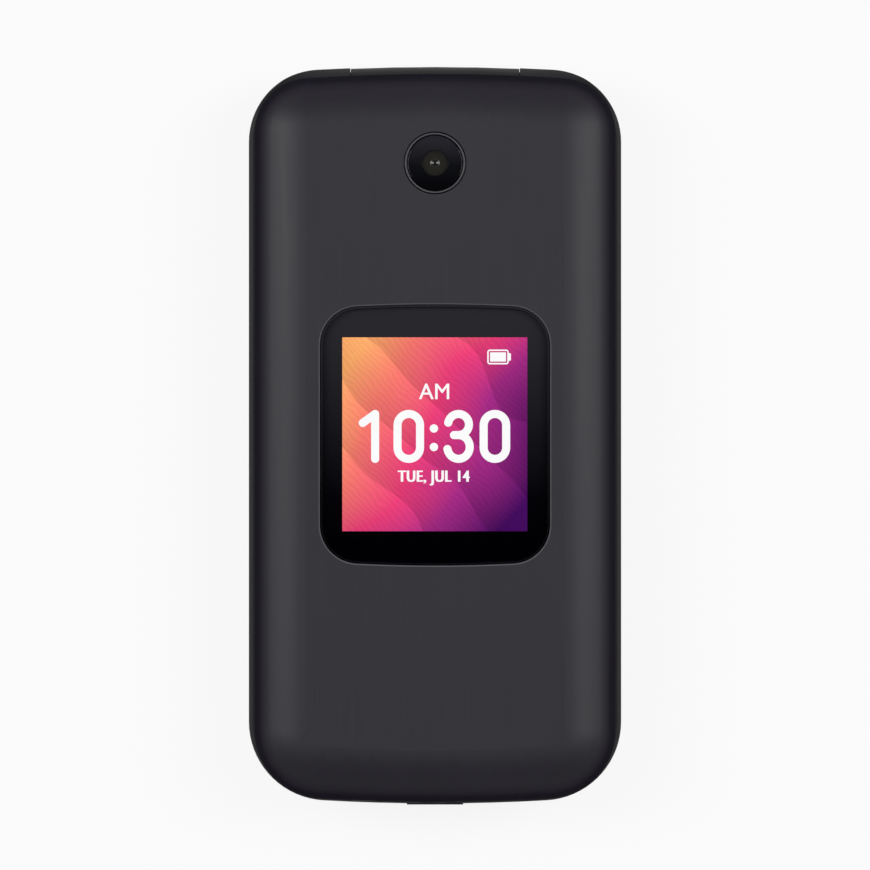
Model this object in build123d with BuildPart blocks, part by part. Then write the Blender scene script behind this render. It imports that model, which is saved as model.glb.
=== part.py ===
"""Flip phone lying closed on its back, in millimetres.

X runs across the phone, Y from the thumb end to the hinge end, Z up through the lid.
The origin is under the middle of the phone, on the surface that it lies on.
"""

import os
from math import cos, radians, sin, sqrt

from build123d import *

# Outline of the closed phone
LENGTH = 105.0
WIDTH = 52.9
END_ARC_R = 280.0  # both ends bow outwards a little
HINGE_CORNER_R = 10.4
THUMB_CORNER_R = 11.2
LIP_PROUD = 0.15  # straight lip of the lid at the thumb end
LIP_HALF = 4.0
BASE_INSET = 0.25  # the keypad half is a little smaller than the lid

# Keypad half, layer by layer from the surface up
BACK_WALL = 1.2
BATTERY_FREE = 0.25  # under the battery
BATTERY_T = 5.0
ROOF_FREE = 0.15
BAY_ROOF = 0.7
BOARD_FREE = 0.1
BOARD_T = 0.8
KEY_STACK = 1.5  # domes, key mat and the free travel over the board
FACE_PLATE = 0.9
FIELD_DEPTH = 0.3  # the keys lie in a shallow field
BASE_WALL = 1.5
BASE_BOTTOM_R = 2.4
BASE_EDGE_R = 0.5
TOE_R = 1.0

# Lid, layer by layer
HALF_GAP = 0.4
GLASS_SET_BACK = 0.1
GLASS_T = 0.7
LID_PLATE = 1.2
LAYER_GAP = 0.05
PANEL_T = 2.0
CHASSIS_T = 0.5
OUTER_PANEL_T = 1.8
LEDGE_FREE = 0.15
LEDGE_T = 0.8
WINDOW_T = 1.0
RIM_R = 0.6
LID_EDGE_R = 0.5

# Outer cover of the lid: it leaves a dark rim of the inner cover showing all round
RIM_SIDE = 0.85
RIM_HINGE = 1.3
RIM_THUMB = 0.5
COVER_HINGE_CORNER_R = 7.8
COVER_THUMB_CORNER_R = 9.6
COVER_WALL = 1.2
ROLL = 7.4  # width of the rolled edge
DROP = 3.0  # how far the rolled edge falls
EDGE_T = 1.0  # plain edge below the roll
RIM_SEAT = 1.1  # ledge inside the rim that carries the cover

# Hinge
BARREL_R = 5.8
HINGE_DROP = 0.9  # axis below the keypad face
RUN_GAP = 0.3  # round the barrel
MIDDLE_HALF = 12.0  # half width of the middle barrel
COLLAR_R = 5.05  # collar at each end of the middle barrel, turning in a groove of the knuckle
COLLAR_WALL = 1.0
COLLAR_L = 0.5
COLLAR_GAP = 0.1
SIDE_GAP = 0.1
CLEAR_ANGLE = 122.0  # the keypad half ends on this radius below the axis
CARTRIDGE_R = 3.2
CARTRIDGE_FLAT = 2.8
KNUCKLE_END = 4.6  # solid end of a knuckle, outside its bore
SHAFT_R = 2.0
SHAFT_FLAT = 1.5
SHAFT_KEYED = 8.4  # length held in the middle barrel
SHAFT_IN_CARTRIDGE = 4.4
RUN_FIT = 0.05
PRESS_GAP = 0.02
BUSHING_BORE_R = 2.4
BUSHING_IN_LID = 4.0
BUSHING_IN_BARREL = 3.6
FLEX_ROLL_R = 2.0
FLEX_T = 0.15

# Outer display and camera
WINDOW_W = 32.4
WINDOW_L = 36.8
WINDOW_CORNER_R = 5.4
WINDOW_ARC_R = 220.0
WINDOW_GAP = 0.1
WINDOW_BEVEL = 0.25
OPENING_BEVEL = 0.15  # edge of the opening round that window
OUTER_ACTIVE_W = 26.3
OUTER_ACTIVE_L = 27.6
OUTER_VIEW_MARGIN = 0.6
OUTER_PANEL_BORDER = 2.1
TRIM_R = 4.39
TRIM_WALL = 0.45
TRIM_GAP = 0.06
CAMERA_GLASS_GAP = 0.05
CAMERA_GLASS_T = 0.9
CAMERA_SEAT_T = 0.7
CAMERA_VIEW_R = 2.6
MODULE_W = 6.0
MODULE_L = 3.3
MODULE_RISE = 3.4  # underside of the camera above the hinge axis
MODULE_FREE = 0.15
LENS_R = 2.2
LENS_L = 0.8

# Main display
GLASS_SIDE = 2.9  # from the side of the lid to the glass
GLASS_THUMB = 13.0
GLASS_HINGE = 8.9
GLASS_CORNER_R = 2.5
GLASS_GAP = 0.1
VIEW_SIDE = 1.95  # dark border of the glass
VIEW_END = 6.95
VIEW_MARGIN = 0.6
PANEL_SIDE = 2.5
PANEL_END = 4.2

# Small parts of the lid
EARPIECE_L = 9.0
EARPIECE_W = 1.6
EARPIECE_IN = 6.5  # from the thumb end
MESH_T = 0.3
SPEAKER_BODY = (10.0, 6.0, 2.0)
MAGNET = (5.0, 3.0, 1.5)
MAGNET_SIDE = 9.95
BUMPER_R = 2.0
BUMPER_T = 0.75
BUMPER_PROUD = 0.3
LID_SCREW_IN = 4.9
LID_SCREW_THUMB = 8.6
LID_SCREW_HINGE = 3.0
SCREW_HEAD_R = 1.3
SCREW_HEAD_T = 0.8
SCREW_R = 0.7
SCREW_FREE = 0.05
LID_SCREW_L = 3.4
BOSS_R = 2.3
BOSS_DROP = 1.1  # the bosses stand in the rolled edge, so they end lower than the roof
LID_BOARD_L = 4.3
LID_BOARD_T = 0.6
LID_BOARD_LIFT = 2.7  # over the plate of the inner cover
LID_BOARD_IN = 7.4
TAIL_W = 2.5

# Keys
FIELD_SIDE = 1.9
FIELD_HINGE = 4.8
FIELD_THUMB = 7.5
FIELD_CORNER_R = 4.0
FIELD_MARGIN = 1.0
KEY_GAP = 1.2
GROUP_GAP = 1.6
KEY_CORNER_R = 2.2
KEY_EDGE_R = 0.3
KEY_CLEAR = 0.15
KEY_FLANGE = 0.3
KEY_FLANGE_T = 0.3
KEY_RISE = 0.25  # tops over the floor of the field
KEY_FREE = 0.45  # undersides below the face plate
CALL_ROW_L = 8.4
SIDE_KEY_L = 9.6
NAV_HALF = 10.8
NAV_CORNER_R = 8.0
NAV_CLEAR = 0.3
NAV_LIFT = 0.15  # underside of the ring below the face plate
OK_R = 4.6
OK_CLEAR = 0.35
OK_STEM_R = 1.5
CARRIER_R = 8.0
NAV_DOME_R = 6.4  # from the middle of the ring to its four domes
CARRIER_T = 0.3
CARRIER_BORE_R = 2.1
CARRIER_OVER_DOMES = 0.4
STEM_OVER_DOMES = 0.3
MAT_T = 0.25
MAT_UNDER_KEYS = 0.25
PLUNGER_R = 1.2
PLUNGER_T = 0.25
DOME_SHEET_T = 0.1
DOME_T = 0.15
DOME_R = 2.2

# Battery, its bay and its cover
COVER_SPLIT_Z = 2.6
COVER_SPLIT_IN = 17.0  # from the hinge end of the phone
COVER_GAP = 0.08
BATTERY_SIDE = 8.55  # from the side of the phone
BAY_CLEAR = 0.2
BAY_WALL = 1.2
BAY_THUMB = 8.3
ELECTRONICS_L = 42.7  # from the hinge end of the phone to the battery
GRIP_GROOVES = 5  # thumb grip for sliding the cover off
GRIP_W = 14.0
GROOVE_W = 0.8
GROOVE_DEPTH = 0.35
GROOVE_PITCH = 1.7
GRIP_FROM_SPLIT = 8.0
SPEAKER_SLOTS = 5
SLOT_W = 0.8
SLOT_L = 7.0
SLOT_PITCH = 1.9

# Housing seams
HOUSING_SEAM = 0.2  # the housing stops this far above the board

# Small parts of the keypad half
BOARD_CLEAR = 0.35
LEDGE_W = 1.1
CONTACT_BLOCK = (10.0, 4.0, 4.4)
CONTACT_BLADES = 4
CONTACT_BLADE_W = 0.8
CONTACT_PITCH = 2.3
JACK_BORE_R = 1.8
JACK_L = 14.0
JACK_W = 6.2
JACK_H = 4.6
JACK_SKIN = 1.0  # housing wall left in front of a socket
JACK_HOLE_R = 2.3
JACK_FROM_BATTERY = 6.2
USB_W = 7.5
USB_H = 2.5
USB_L = 5.4
USB_SHELL = 0.25
USB_TONGUE = (4.0, 3.6, 0.6)
USB_FROM_BATTERY = -18.0
USB_HOLE_CLEAR = 0.5
SIM_BODY = (16.0, 14.0, 1.6)
SIM_TO_MOTOR = 2.5
SIM_SLOT = 0.9
CAN_SIDE = 5.95
CAN_TO_SIM = 1.5
CAN_L = 23.0
CAN_H = 1.4
CAN_WALL = 0.15
LOUDSPEAKER_W = 15.0
LOUDSPEAKER_L = 11.0
LOUDSPEAKER_T = 3.0
LOUDSPEAKER_SIDE = 6.45
LOUDSPEAKER_FROM_BATTERY = 10.2
MOTOR_R = 4.5
MOTOR_T = 2.7
MOTOR_SIDE = 4.95
MOTOR_FROM_BATTERY = 19.7
MIC_R = 2.0
MIC_T = 1.2
MIC_X = 8.0
MIC_IN = 4.6
MIC_HOLE_R = 0.5
CONNECTOR = (5.4, 1.8, 0.9)
BASE_SCREW_R = 0.6
BASE_SCREW_L = 7.0
BASE_BOSS_R = 1.5
BASE_SCREW_SIDE = 5.2
BASE_SCREW_HINGE = 2.1
BASE_SCREW_THUMB = 5.2
BASE_SCREW_THUMB_SIDE = 6.7

# Volume rocker
ROCKER_FROM_BATTERY = 10.2
ROCKER_HALF = 8.0
ROCKER_H = 2.4
ROCKER_UNDER_BOARD = 0.1
ROCKER_SKIN = 0.9
ROCKER_FLANGE = 0.8
ROCKER_FLANGE_T = 0.5
ROCKER_FLANGE_GAP = 0.4
ROCKER_NUB = 5.0
ROCKER_NUB_L = 0.45
SWITCH_GAP = 0.3
SWITCH = (1.6, 3.0, 2.2)
SWITCH_PLUNGER_L = 0.3

# Levels that follow from the layers
BATTERY_LOW = BACK_WALL + BATTERY_FREE
BATTERY_HIGH = BATTERY_LOW + BATTERY_T
ROOF_LOW = BATTERY_HIGH + ROOF_FREE
ROOF_HIGH = ROOF_LOW + BAY_ROOF
BOARD_LOW = ROOF_HIGH + BOARD_FREE
BOARD_HIGH = BOARD_LOW + BOARD_T
PLATE_LOW = BOARD_HIGH + KEY_STACK
FIELD_Z = PLATE_LOW + FACE_PLATE
BASE_TOP = FIELD_Z + FIELD_DEPTH
HOUSING_TOP = BOARD_HIGH + HOUSING_SEAM
DECK_LOW = BACK_WALL + ROOF_FREE
DECK_TOP = BOARD_LOW - JACK_H - LAYER_GAP
LID_FACE = BASE_TOP + HALF_GAP
GLASS_LOW = LID_FACE + GLASS_SET_BACK
GLASS_FLOOR = GLASS_LOW + GLASS_T
LID_FLOOR = LID_FACE + LID_PLATE
PANEL_LOW = LID_FLOOR + LAYER_GAP
PANEL_HIGH = PANEL_LOW + PANEL_T
CHASSIS_LOW = PANEL_HIGH + LAYER_GAP
CHASSIS_HIGH = CHASSIS_LOW + CHASSIS_T
OUTER_PANEL_LOW = CHASSIS_HIGH + LAYER_GAP
OUTER_PANEL_HIGH = OUTER_PANEL_LOW + OUTER_PANEL_T
LEDGE_LOW = OUTER_PANEL_HIGH + LEDGE_FREE
LEDGE_HIGH = LEDGE_LOW + LEDGE_T
LID_TOP = LEDGE_HIGH + WINDOW_T
COVER_UNDER = LID_TOP - COVER_WALL
ROLL_R = (ROLL**2 + DROP**2) / (2 * DROP)
SEAM_Z = LID_TOP - DROP - EDGE_T
DOME_TOP = BOARD_HIGH + DOME_SHEET_T + DOME_T
KEY_TOP = FIELD_Z + KEY_RISE
KEY_LOW = PLATE_LOW - KEY_FREE

# Places that follow from the outline
SIDE = WIDTH / 2
HINGE_END = LENGTH / 2
THUMB_END = -LENGTH / 2
HINGE_Y = HINGE_END - BARREL_R
HINGE_Z = BASE_TOP - HINGE_DROP
SEAT_R = BARREL_R + RUN_GAP
MIDDLE_SPACE = MIDDLE_HALF + SIDE_GAP
CARTRIDGE_L = SIDE - KNUCKLE_END - MIDDLE_SPACE
FLEX_ROOM = CARTRIDGE_L  # depth of the cable space in the left knuckle
COVER_SIDE = SIDE - RIM_SIDE
COVER_HINGE_END = HINGE_END - RIM_HINGE
COVER_THUMB_END = THUMB_END + RIM_THUMB
LID_ROOM_SIDE = COVER_SIDE - RIM_SEAT
LID_ROOM_THUMB = COVER_THUMB_END + RIM_SEAT
BARREL_FRONT = HINGE_Y - BARREL_R
GLASS_X = SIDE - GLASS_SIDE
GLASS_Y = (THUMB_END + GLASS_THUMB, BARREL_FRONT - GLASS_HINGE)
VIEW_X = GLASS_X - VIEW_SIDE
VIEW_Y = (GLASS_Y[0] + VIEW_END, GLASS_Y[1] - VIEW_END)
PANEL_X = VIEW_X + PANEL_SIDE
PANEL_Y = (VIEW_Y[0] - PANEL_END, VIEW_Y[1] + PANEL_END)
CAMERA_LOW = HINGE_Z + MODULE_RISE
CAMERA_Y = HINGE_Y - sqrt(SEAT_R**2 - MODULE_RISE**2) - MODULE_FREE - MODULE_W / 2
EARPIECE_Y = THUMB_END + EARPIECE_IN
LID_SCREWS = [
    (x, y)
    for x in (LID_SCREW_IN - SIDE, SIDE - LID_SCREW_IN)
    for y in (THUMB_END + LID_SCREW_THUMB, GLASS_Y[1] + LID_SCREW_HINGE)
]
BASE_SIDE = SIDE - BASE_INSET
BASE_THUMB = THUMB_END + BASE_INSET
ROOM_SIDE = BASE_SIDE - BASE_WALL
ROOM_THUMB = BASE_THUMB + BASE_WALL
ROOM_HINGE = HINGE_Y - SEAT_R - BASE_WALL - RUN_GAP
LOW_ROOM_SIDE = ROOM_SIDE - LEDGE_W
LOW_ROOM_THUMB = ROOM_THUMB + LEDGE_W
COVER_SPLIT_Y = HINGE_END - COVER_SPLIT_IN
BATTERY_Y = (THUMB_END + BAY_THUMB, HINGE_END - ELECTRONICS_L)
BATTERY_X = SIDE - BATTERY_SIDE
BAY_X = BATTERY_X + BAY_CLEAR
BAY_Y = (BATTERY_Y[0] - BAY_CLEAR, BATTERY_Y[1] + BAY_CLEAR)
NECK_LOW = HINGE_Z - BARREL_R * sin(radians(180 - CLEAR_ANGLE))
MOTOR_X = SIDE - MOTOR_SIDE - MOTOR_R
SIM_X = MOTOR_X - MOTOR_R - SIM_TO_MOTOR - SIM_BODY[0] / 2
CAN_X = (-SIDE + CAN_SIDE, SIM_X - SIM_BODY[0] / 2 - CAN_TO_SIM)
LOUDSPEAKER_X = -SIDE + LOUDSPEAKER_SIDE + LOUDSPEAKER_W / 2
MAGNET_X = SIDE - MAGNET_SIDE - MAGNET[0] / 2
BASE_SCREWS = [
    (-BASE_SIDE + BASE_SCREW_THUMB_SIDE, BASE_THUMB + BASE_SCREW_THUMB),
    (BASE_SIDE - BASE_SCREW_THUMB_SIDE, BASE_THUMB + BASE_SCREW_THUMB),
    (-BASE_SIDE + BASE_SCREW_SIDE, ROOM_HINGE - BASE_SCREW_HINGE),
    (BASE_SIDE - BASE_SCREW_SIDE, ROOM_HINGE - BASE_SCREW_HINGE),
]

# Layout of the keys: the navigation group keeps its size, and the number rows share the rest
FIELD_X = BASE_SIDE - FIELD_SIDE
FIELD_Y = (THUMB_END + FIELD_THUMB, HINGE_Y - SEAT_R - FIELD_HINGE)
KEYS_X = FIELD_X - FIELD_MARGIN
KEYS_Y = (FIELD_Y[0] + FIELD_MARGIN, FIELD_Y[1] - FIELD_MARGIN)
NAV_Y = KEYS_Y[1] - NAV_HALF
SIDE_KEY_W = KEYS_X - NAV_HALF - GROUP_GAP
SIDE_KEY_X = KEYS_X - SIDE_KEY_W / 2
SIDE_KEY_STEP = (2 * NAV_HALF - SIDE_KEY_L) / 2
COLUMN_W = (2 * KEYS_X - 2 * KEY_GAP) / 3
COLUMN_STEP = COLUMN_W + KEY_GAP
CALL_Y = NAV_Y - NAV_HALF - GROUP_GAP - CALL_ROW_L / 2
NUMBERS_HIGH = CALL_Y - CALL_ROW_L / 2 - GROUP_GAP
ROW_L = (NUMBERS_HIGH - KEYS_Y[0] - 3 * KEY_GAP) / 4
ROW_STEP = ROW_L + KEY_GAP
ROW_Y = [NUMBERS_HIGH - ROW_L / 2 - row * ROW_STEP for row in range(4)]
NUMBER_NAMES = [
    ["key_1", "key_2", "key_3"],
    ["key_4", "key_5", "key_6"],
    ["key_7", "key_8", "key_9"],
    ["key_star", "key_0", "key_hash"],
]
# name: (middle x, middle y, width, length)
KEYS = {
    "soft_key_left": (-SIDE_KEY_X, NAV_Y + SIDE_KEY_STEP, SIDE_KEY_W, SIDE_KEY_L),
    "soft_key_right": (SIDE_KEY_X, NAV_Y + SIDE_KEY_STEP, SIDE_KEY_W, SIDE_KEY_L),
    "message_key": (-SIDE_KEY_X, NAV_Y - SIDE_KEY_STEP, SIDE_KEY_W, SIDE_KEY_L),
    "camera_key": (SIDE_KEY_X, NAV_Y - SIDE_KEY_STEP, SIDE_KEY_W, SIDE_KEY_L),
    "call_key": (-COLUMN_STEP, CALL_Y, COLUMN_W, CALL_ROW_L),
    "clear_key": (0, CALL_Y, COLUMN_W, CALL_ROW_L),
    "end_key": (COLUMN_STEP, CALL_Y, COLUMN_W, CALL_ROW_L),
}
for row, names in enumerate(NUMBER_NAMES):
    for column, name in enumerate(names):
        KEYS[name] = ((column - 1) * COLUMN_STEP, ROW_Y[row], COLUMN_W, ROW_L)
KEY_SPOTS = [(x, y) for x, y, _, _ in KEYS.values()]
NAV_SPOTS = [(-NAV_DOME_R, NAV_Y), (NAV_DOME_R, NAV_Y), (0, NAV_Y - NAV_DOME_R), (0, NAV_Y + NAV_DOME_R)]


def plan_outline(side, hinge_end, thumb_end, hinge_corner, thumb_corner, arc=END_ARC_R):
    """Flat outline with straight sides, bowed ends and rounded corners."""
    with BuildSketch(mode=Mode.PRIVATE) as plan:
        with Locations((0, (hinge_end + thumb_end) / 2)):
            Rectangle(2 * side, hinge_end - thumb_end)
        with Locations((0, hinge_end - arc)):
            Circle(arc, mode=Mode.INTERSECT)
        with Locations((0, thumb_end + arc)):
            Circle(arc, mode=Mode.INTERSECT)
        middle = (hinge_end + thumb_end) / 2
        fillet(plan.vertices().filter_by(lambda v: v.Y > middle), hinge_corner)
        fillet(plan.vertices().filter_by(lambda v: v.Y < middle), thumb_corner)
    return plan.sketch


def crowned(plan, low, high, roll, radius):
    """Solid on a plan, whose top rolls off over a given width on an arc of a given radius."""
    side = plan.bounding_box().max.X
    edge_z = high - radius + sqrt(radius**2 - roll**2)
    middle = (roll / 2, high - radius + sqrt(radius**2 - roll**2 / 4))
    with BuildPart(mode=Mode.PRIVATE) as form:
        with BuildSketch():
            add(plan)
        extrude(amount=high - low)
        with BuildSketch(Plane((side, 0, -low), x_dir=(1, 0, 0), z_dir=(0, -1, 0))):
            with BuildLine():
                ThreePointArc((-roll, high), (middle[0] - roll, middle[1]), (0, edge_z))
                Polyline((0, edge_z), (1, edge_z), (1, high + 1), (-roll, high + 1), (-roll, high))
            make_face()
        sweep(path=plan.faces()[0].outer_wire(), transition=Transition.RIGHT, mode=Mode.SUBTRACT)
    return Pos(0, 0, low) * form.part


def slab(x, y, z, mode=Mode.ADD):
    """Box between two values along each axis."""
    with Locations((sum(x) / 2, sum(y) / 2, sum(z) / 2)):
        Box(x[1] - x[0], y[1] - y[0], z[1] - z[0], mode=mode)


def block(size, x, y, low, mode=Mode.ADD):
    """Box of a given size, standing on a level."""
    with Locations((x, y, low + size[2] / 2)):
        Box(*size, mode=mode)


def post(radius, spots, z, mode=Mode.ADD):
    """Upright cylinders at some spots, between two levels."""
    with Locations(*[(x, y, sum(z) / 2) for x, y in spots]):
        Cylinder(radius, z[1] - z[0], mode=mode)


def rod(radius, x, mode=Mode.ADD, y=HINGE_Y, z=HINGE_Z):
    """Cylinder along X, on the hinge axis unless placed elsewhere."""
    with Locations((sum(x) / 2, y, z)):
        Cylinder(radius, x[1] - x[0], rotation=(0, 90, 0), mode=mode)


def flatted_rod(radius, flat, x, mode=Mode.ADD):
    """Rod on the hinge axis with two flats that stop it turning."""
    with BuildPart(mode=Mode.PRIVATE) as flatted:
        rod(radius, x)
        with Locations((sum(x) / 2, HINGE_Y, HINGE_Z)):
            Box(x[1] - x[0], 2 * radius, 2 * flat, mode=Mode.INTERSECT)
    add(flatted.part, mode=mode)


def plate(plan, z, mode=Mode.ADD):
    """Plan drawn out between two levels."""
    extrude(Pos(0, 0, z[0]) * plan, amount=z[1] - z[0], mode=mode)


def rounded(width, length, corner, x=0, y=0):
    """Rectangle with rounded corners."""
    with BuildSketch(mode=Mode.PRIVATE) as sketch:
        with Locations((x, y)):
            RectangleRounded(width, length, corner)
    return sketch.sketch


def save(name, piece):
    """Label a finished piece and write it under its own name."""
    piece.part.label = name
    export_step(piece.part, f"parts/{name}.step")


os.makedirs("parts", exist_ok=True)

# ---------------------------------------------------------------- shared forms

lid_plan = plan_outline(SIDE, HINGE_END, THUMB_END + LIP_PROUD, HINGE_CORNER_R, THUMB_CORNER_R)
cover_plan = plan_outline(
    COVER_SIDE, COVER_HINGE_END, COVER_THUMB_END, COVER_HINGE_CORNER_R, COVER_THUMB_CORNER_R
)
cover_room_plan = plan_outline(
    COVER_SIDE - COVER_WALL,
    COVER_HINGE_END - COVER_WALL,
    COVER_THUMB_END + COVER_WALL,
    COVER_HINGE_CORNER_R - COVER_WALL,
    COVER_THUMB_CORNER_R - COVER_WALL,
)
lid_room_plan = plan_outline(
    LID_ROOM_SIDE,
    HINGE_Y,
    LID_ROOM_THUMB,
    HINGE_CORNER_R / 2,
    COVER_THUMB_CORNER_R - RIM_SEAT,
)
window_plan = plan_outline(
    WINDOW_W / 2, WINDOW_L / 2, -WINDOW_L / 2, WINDOW_CORNER_R, WINDOW_CORNER_R, WINDOW_ARC_R
)
base_plan = plan_outline(
    BASE_SIDE,
    HINGE_END - BASE_INSET,
    BASE_THUMB,
    HINGE_CORNER_R - BASE_INSET,
    THUMB_CORNER_R - BASE_INSET,
)
room_plan = plan_outline(
    ROOM_SIDE, ROOM_HINGE, ROOM_THUMB, KEY_GAP, THUMB_CORNER_R - BASE_INSET - BASE_WALL
)
low_room_plan = plan_outline(
    LOW_ROOM_SIDE,
    ROOM_HINGE,
    LOW_ROOM_THUMB,
    KEY_GAP,
    THUMB_CORNER_R - BASE_INSET - BASE_WALL - LEDGE_W,
)

cover_form = crowned(cover_plan, HINGE_Z, LID_TOP, ROLL, ROLL_R)
cover_room = crowned(cover_room_plan, HINGE_Z, COVER_UNDER, ROLL - COVER_WALL, ROLL_R - COVER_WALL)

# Below and behind the hinge the keypad half stops on a radius of the barrel, so that the
# opened lid swings in under it. In front of the barrel it has a hollow seat.
lip = (
    HINGE_Y + SEAT_R * cos(radians(CLEAR_ANGLE)),
    HINGE_Z - SEAT_R * sin(radians(CLEAR_ANGLE)),
)
toe = HINGE_Y + HINGE_Z * cos(radians(CLEAR_ANGLE)) / sin(radians(CLEAR_ANGLE))
with BuildPart() as base_form:
    plate(base_plan, (0, BASE_TOP))
    fillet(base_form.faces().sort_by(Axis.Z)[0].edges(), BASE_BOTTOM_R)
    with BuildSketch(Plane.YZ) as behind:
        with BuildLine():
            Polyline(
                (toe, 0),
                (toe, -1),
                (HINGE_END + 1, -1),
                (HINGE_END + 1, BASE_TOP + 1),
                (HINGE_Y, BASE_TOP + 1),
                (HINGE_Y, HINGE_Z),
                lip,
                (toe, 0),
            )
        make_face()
    extrude(amount=SIDE, both=True, mode=Mode.SUBTRACT)
    rod(SEAT_R, (-SIDE, SIDE), Mode.SUBTRACT)
    toe_edge = base_form.faces().sort_by(Axis.Z)[0].edges().sort_by(Axis.Y)[-1]
    fillet(toe_edge, TOE_R)
    top_edges = base_form.faces().sort_by(Axis.Z)[-1].edges()
    fillet(top_edges.filter_by(lambda e: e.center().Y < ROOM_HINGE), BASE_EDGE_R)

# ------------------------------------------------------------------------ lid

# Outer cover: a thin shell with a rolled edge, hooded over the hinge barrel
with BuildPart() as lid_outer_cover:
    add(cover_form)
    add(cover_room, mode=Mode.SUBTRACT)
    slab((-SIDE, SIDE), (THUMB_END, HINGE_Y), (HINGE_Z, SEAM_Z), Mode.SUBTRACT)
    rod(BARREL_R, (-SIDE, SIDE), Mode.SUBTRACT)
    rod(SEAT_R, (-MIDDLE_SPACE, MIDDLE_SPACE), Mode.SUBTRACT)
    slab((-SIDE, SIDE), (HINGE_Y, HINGE_END), (0, HINGE_Z), Mode.SUBTRACT)
    plate(window_plan, (LEDGE_LOW, LID_TOP - COVER_WALL / 2))
    camera_seat_z = (COVER_UNDER - CAMERA_SEAT_T, LID_TOP - COVER_WALL / 2)
    post(TRIM_R + COVER_WALL, [(0, CAMERA_Y)], camera_seat_z)
    post(BOSS_R, LID_SCREWS, (SEAM_Z - COVER_WALL, COVER_UNDER - BOSS_DROP))
    plate(offset(window_plan, WINDOW_GAP), (LEDGE_HIGH, LID_TOP), Mode.SUBTRACT)
    top_face = lid_outer_cover.faces().sort_by(Axis.Z)[-1]
    chamfer(top_face.inner_wires().sort_by(SortBy.LENGTH)[-1].edges(), OPENING_BEVEL)
    outer_view = (OUTER_ACTIVE_W + 2 * OUTER_VIEW_MARGIN, OUTER_ACTIVE_L + 2 * OUTER_VIEW_MARGIN)
    slab(
        (-outer_view[0] / 2, outer_view[0] / 2),
        (-outer_view[1] / 2, outer_view[1] / 2),
        (LEDGE_LOW, LID_TOP),
        Mode.SUBTRACT,
    )
    post(TRIM_R + TRIM_GAP, [(0, CAMERA_Y)], (COVER_UNDER, LID_TOP), Mode.SUBTRACT)
    post(CAMERA_VIEW_R, [(0, CAMERA_Y)], (HINGE_Z, LID_TOP), Mode.SUBTRACT)
    screw_top = LID_FACE - BUMPER_PROUD + BUMPER_T + LAYER_GAP + SCREW_HEAD_T + LID_SCREW_L
    post(SCREW_R + PRESS_GAP, LID_SCREWS, (HINGE_Z, screw_top + LAYER_GAP), Mode.SUBTRACT)
save("lid_outer_cover", lid_outer_cover)

# Inner cover: the face beside the main display, the rim all round and both end knuckles
with BuildPart(mode=Mode.PRIVATE) as lower_form:
    plate(lid_plan, (0, SEAM_Z))
    fillet(lower_form.faces().sort_by(Axis.Z)[-1].edges(), RIM_R)

with BuildPart(mode=Mode.PRIVATE) as knuckles:
    rod(BARREL_R, (-SIDE, SIDE))
    add(lower_form.part, mode=Mode.INTERSECT)

with BuildPart(mode=Mode.PRIVATE) as hooded_knuckles:
    rod(BARREL_R, (-SIDE, SIDE))
    add(cover_room, mode=Mode.INTERSECT)

with BuildPart(mode=Mode.PRIVATE) as collar_grooves:
    groove_end = MIDDLE_SPACE + COLLAR_L + SIDE_GAP
    rod(COLLAR_R + COLLAR_GAP, (-groove_end, groove_end))
    rod(COLLAR_R - COLLAR_WALL - COLLAR_GAP, (-groove_end, groove_end), Mode.SUBTRACT)

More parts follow.
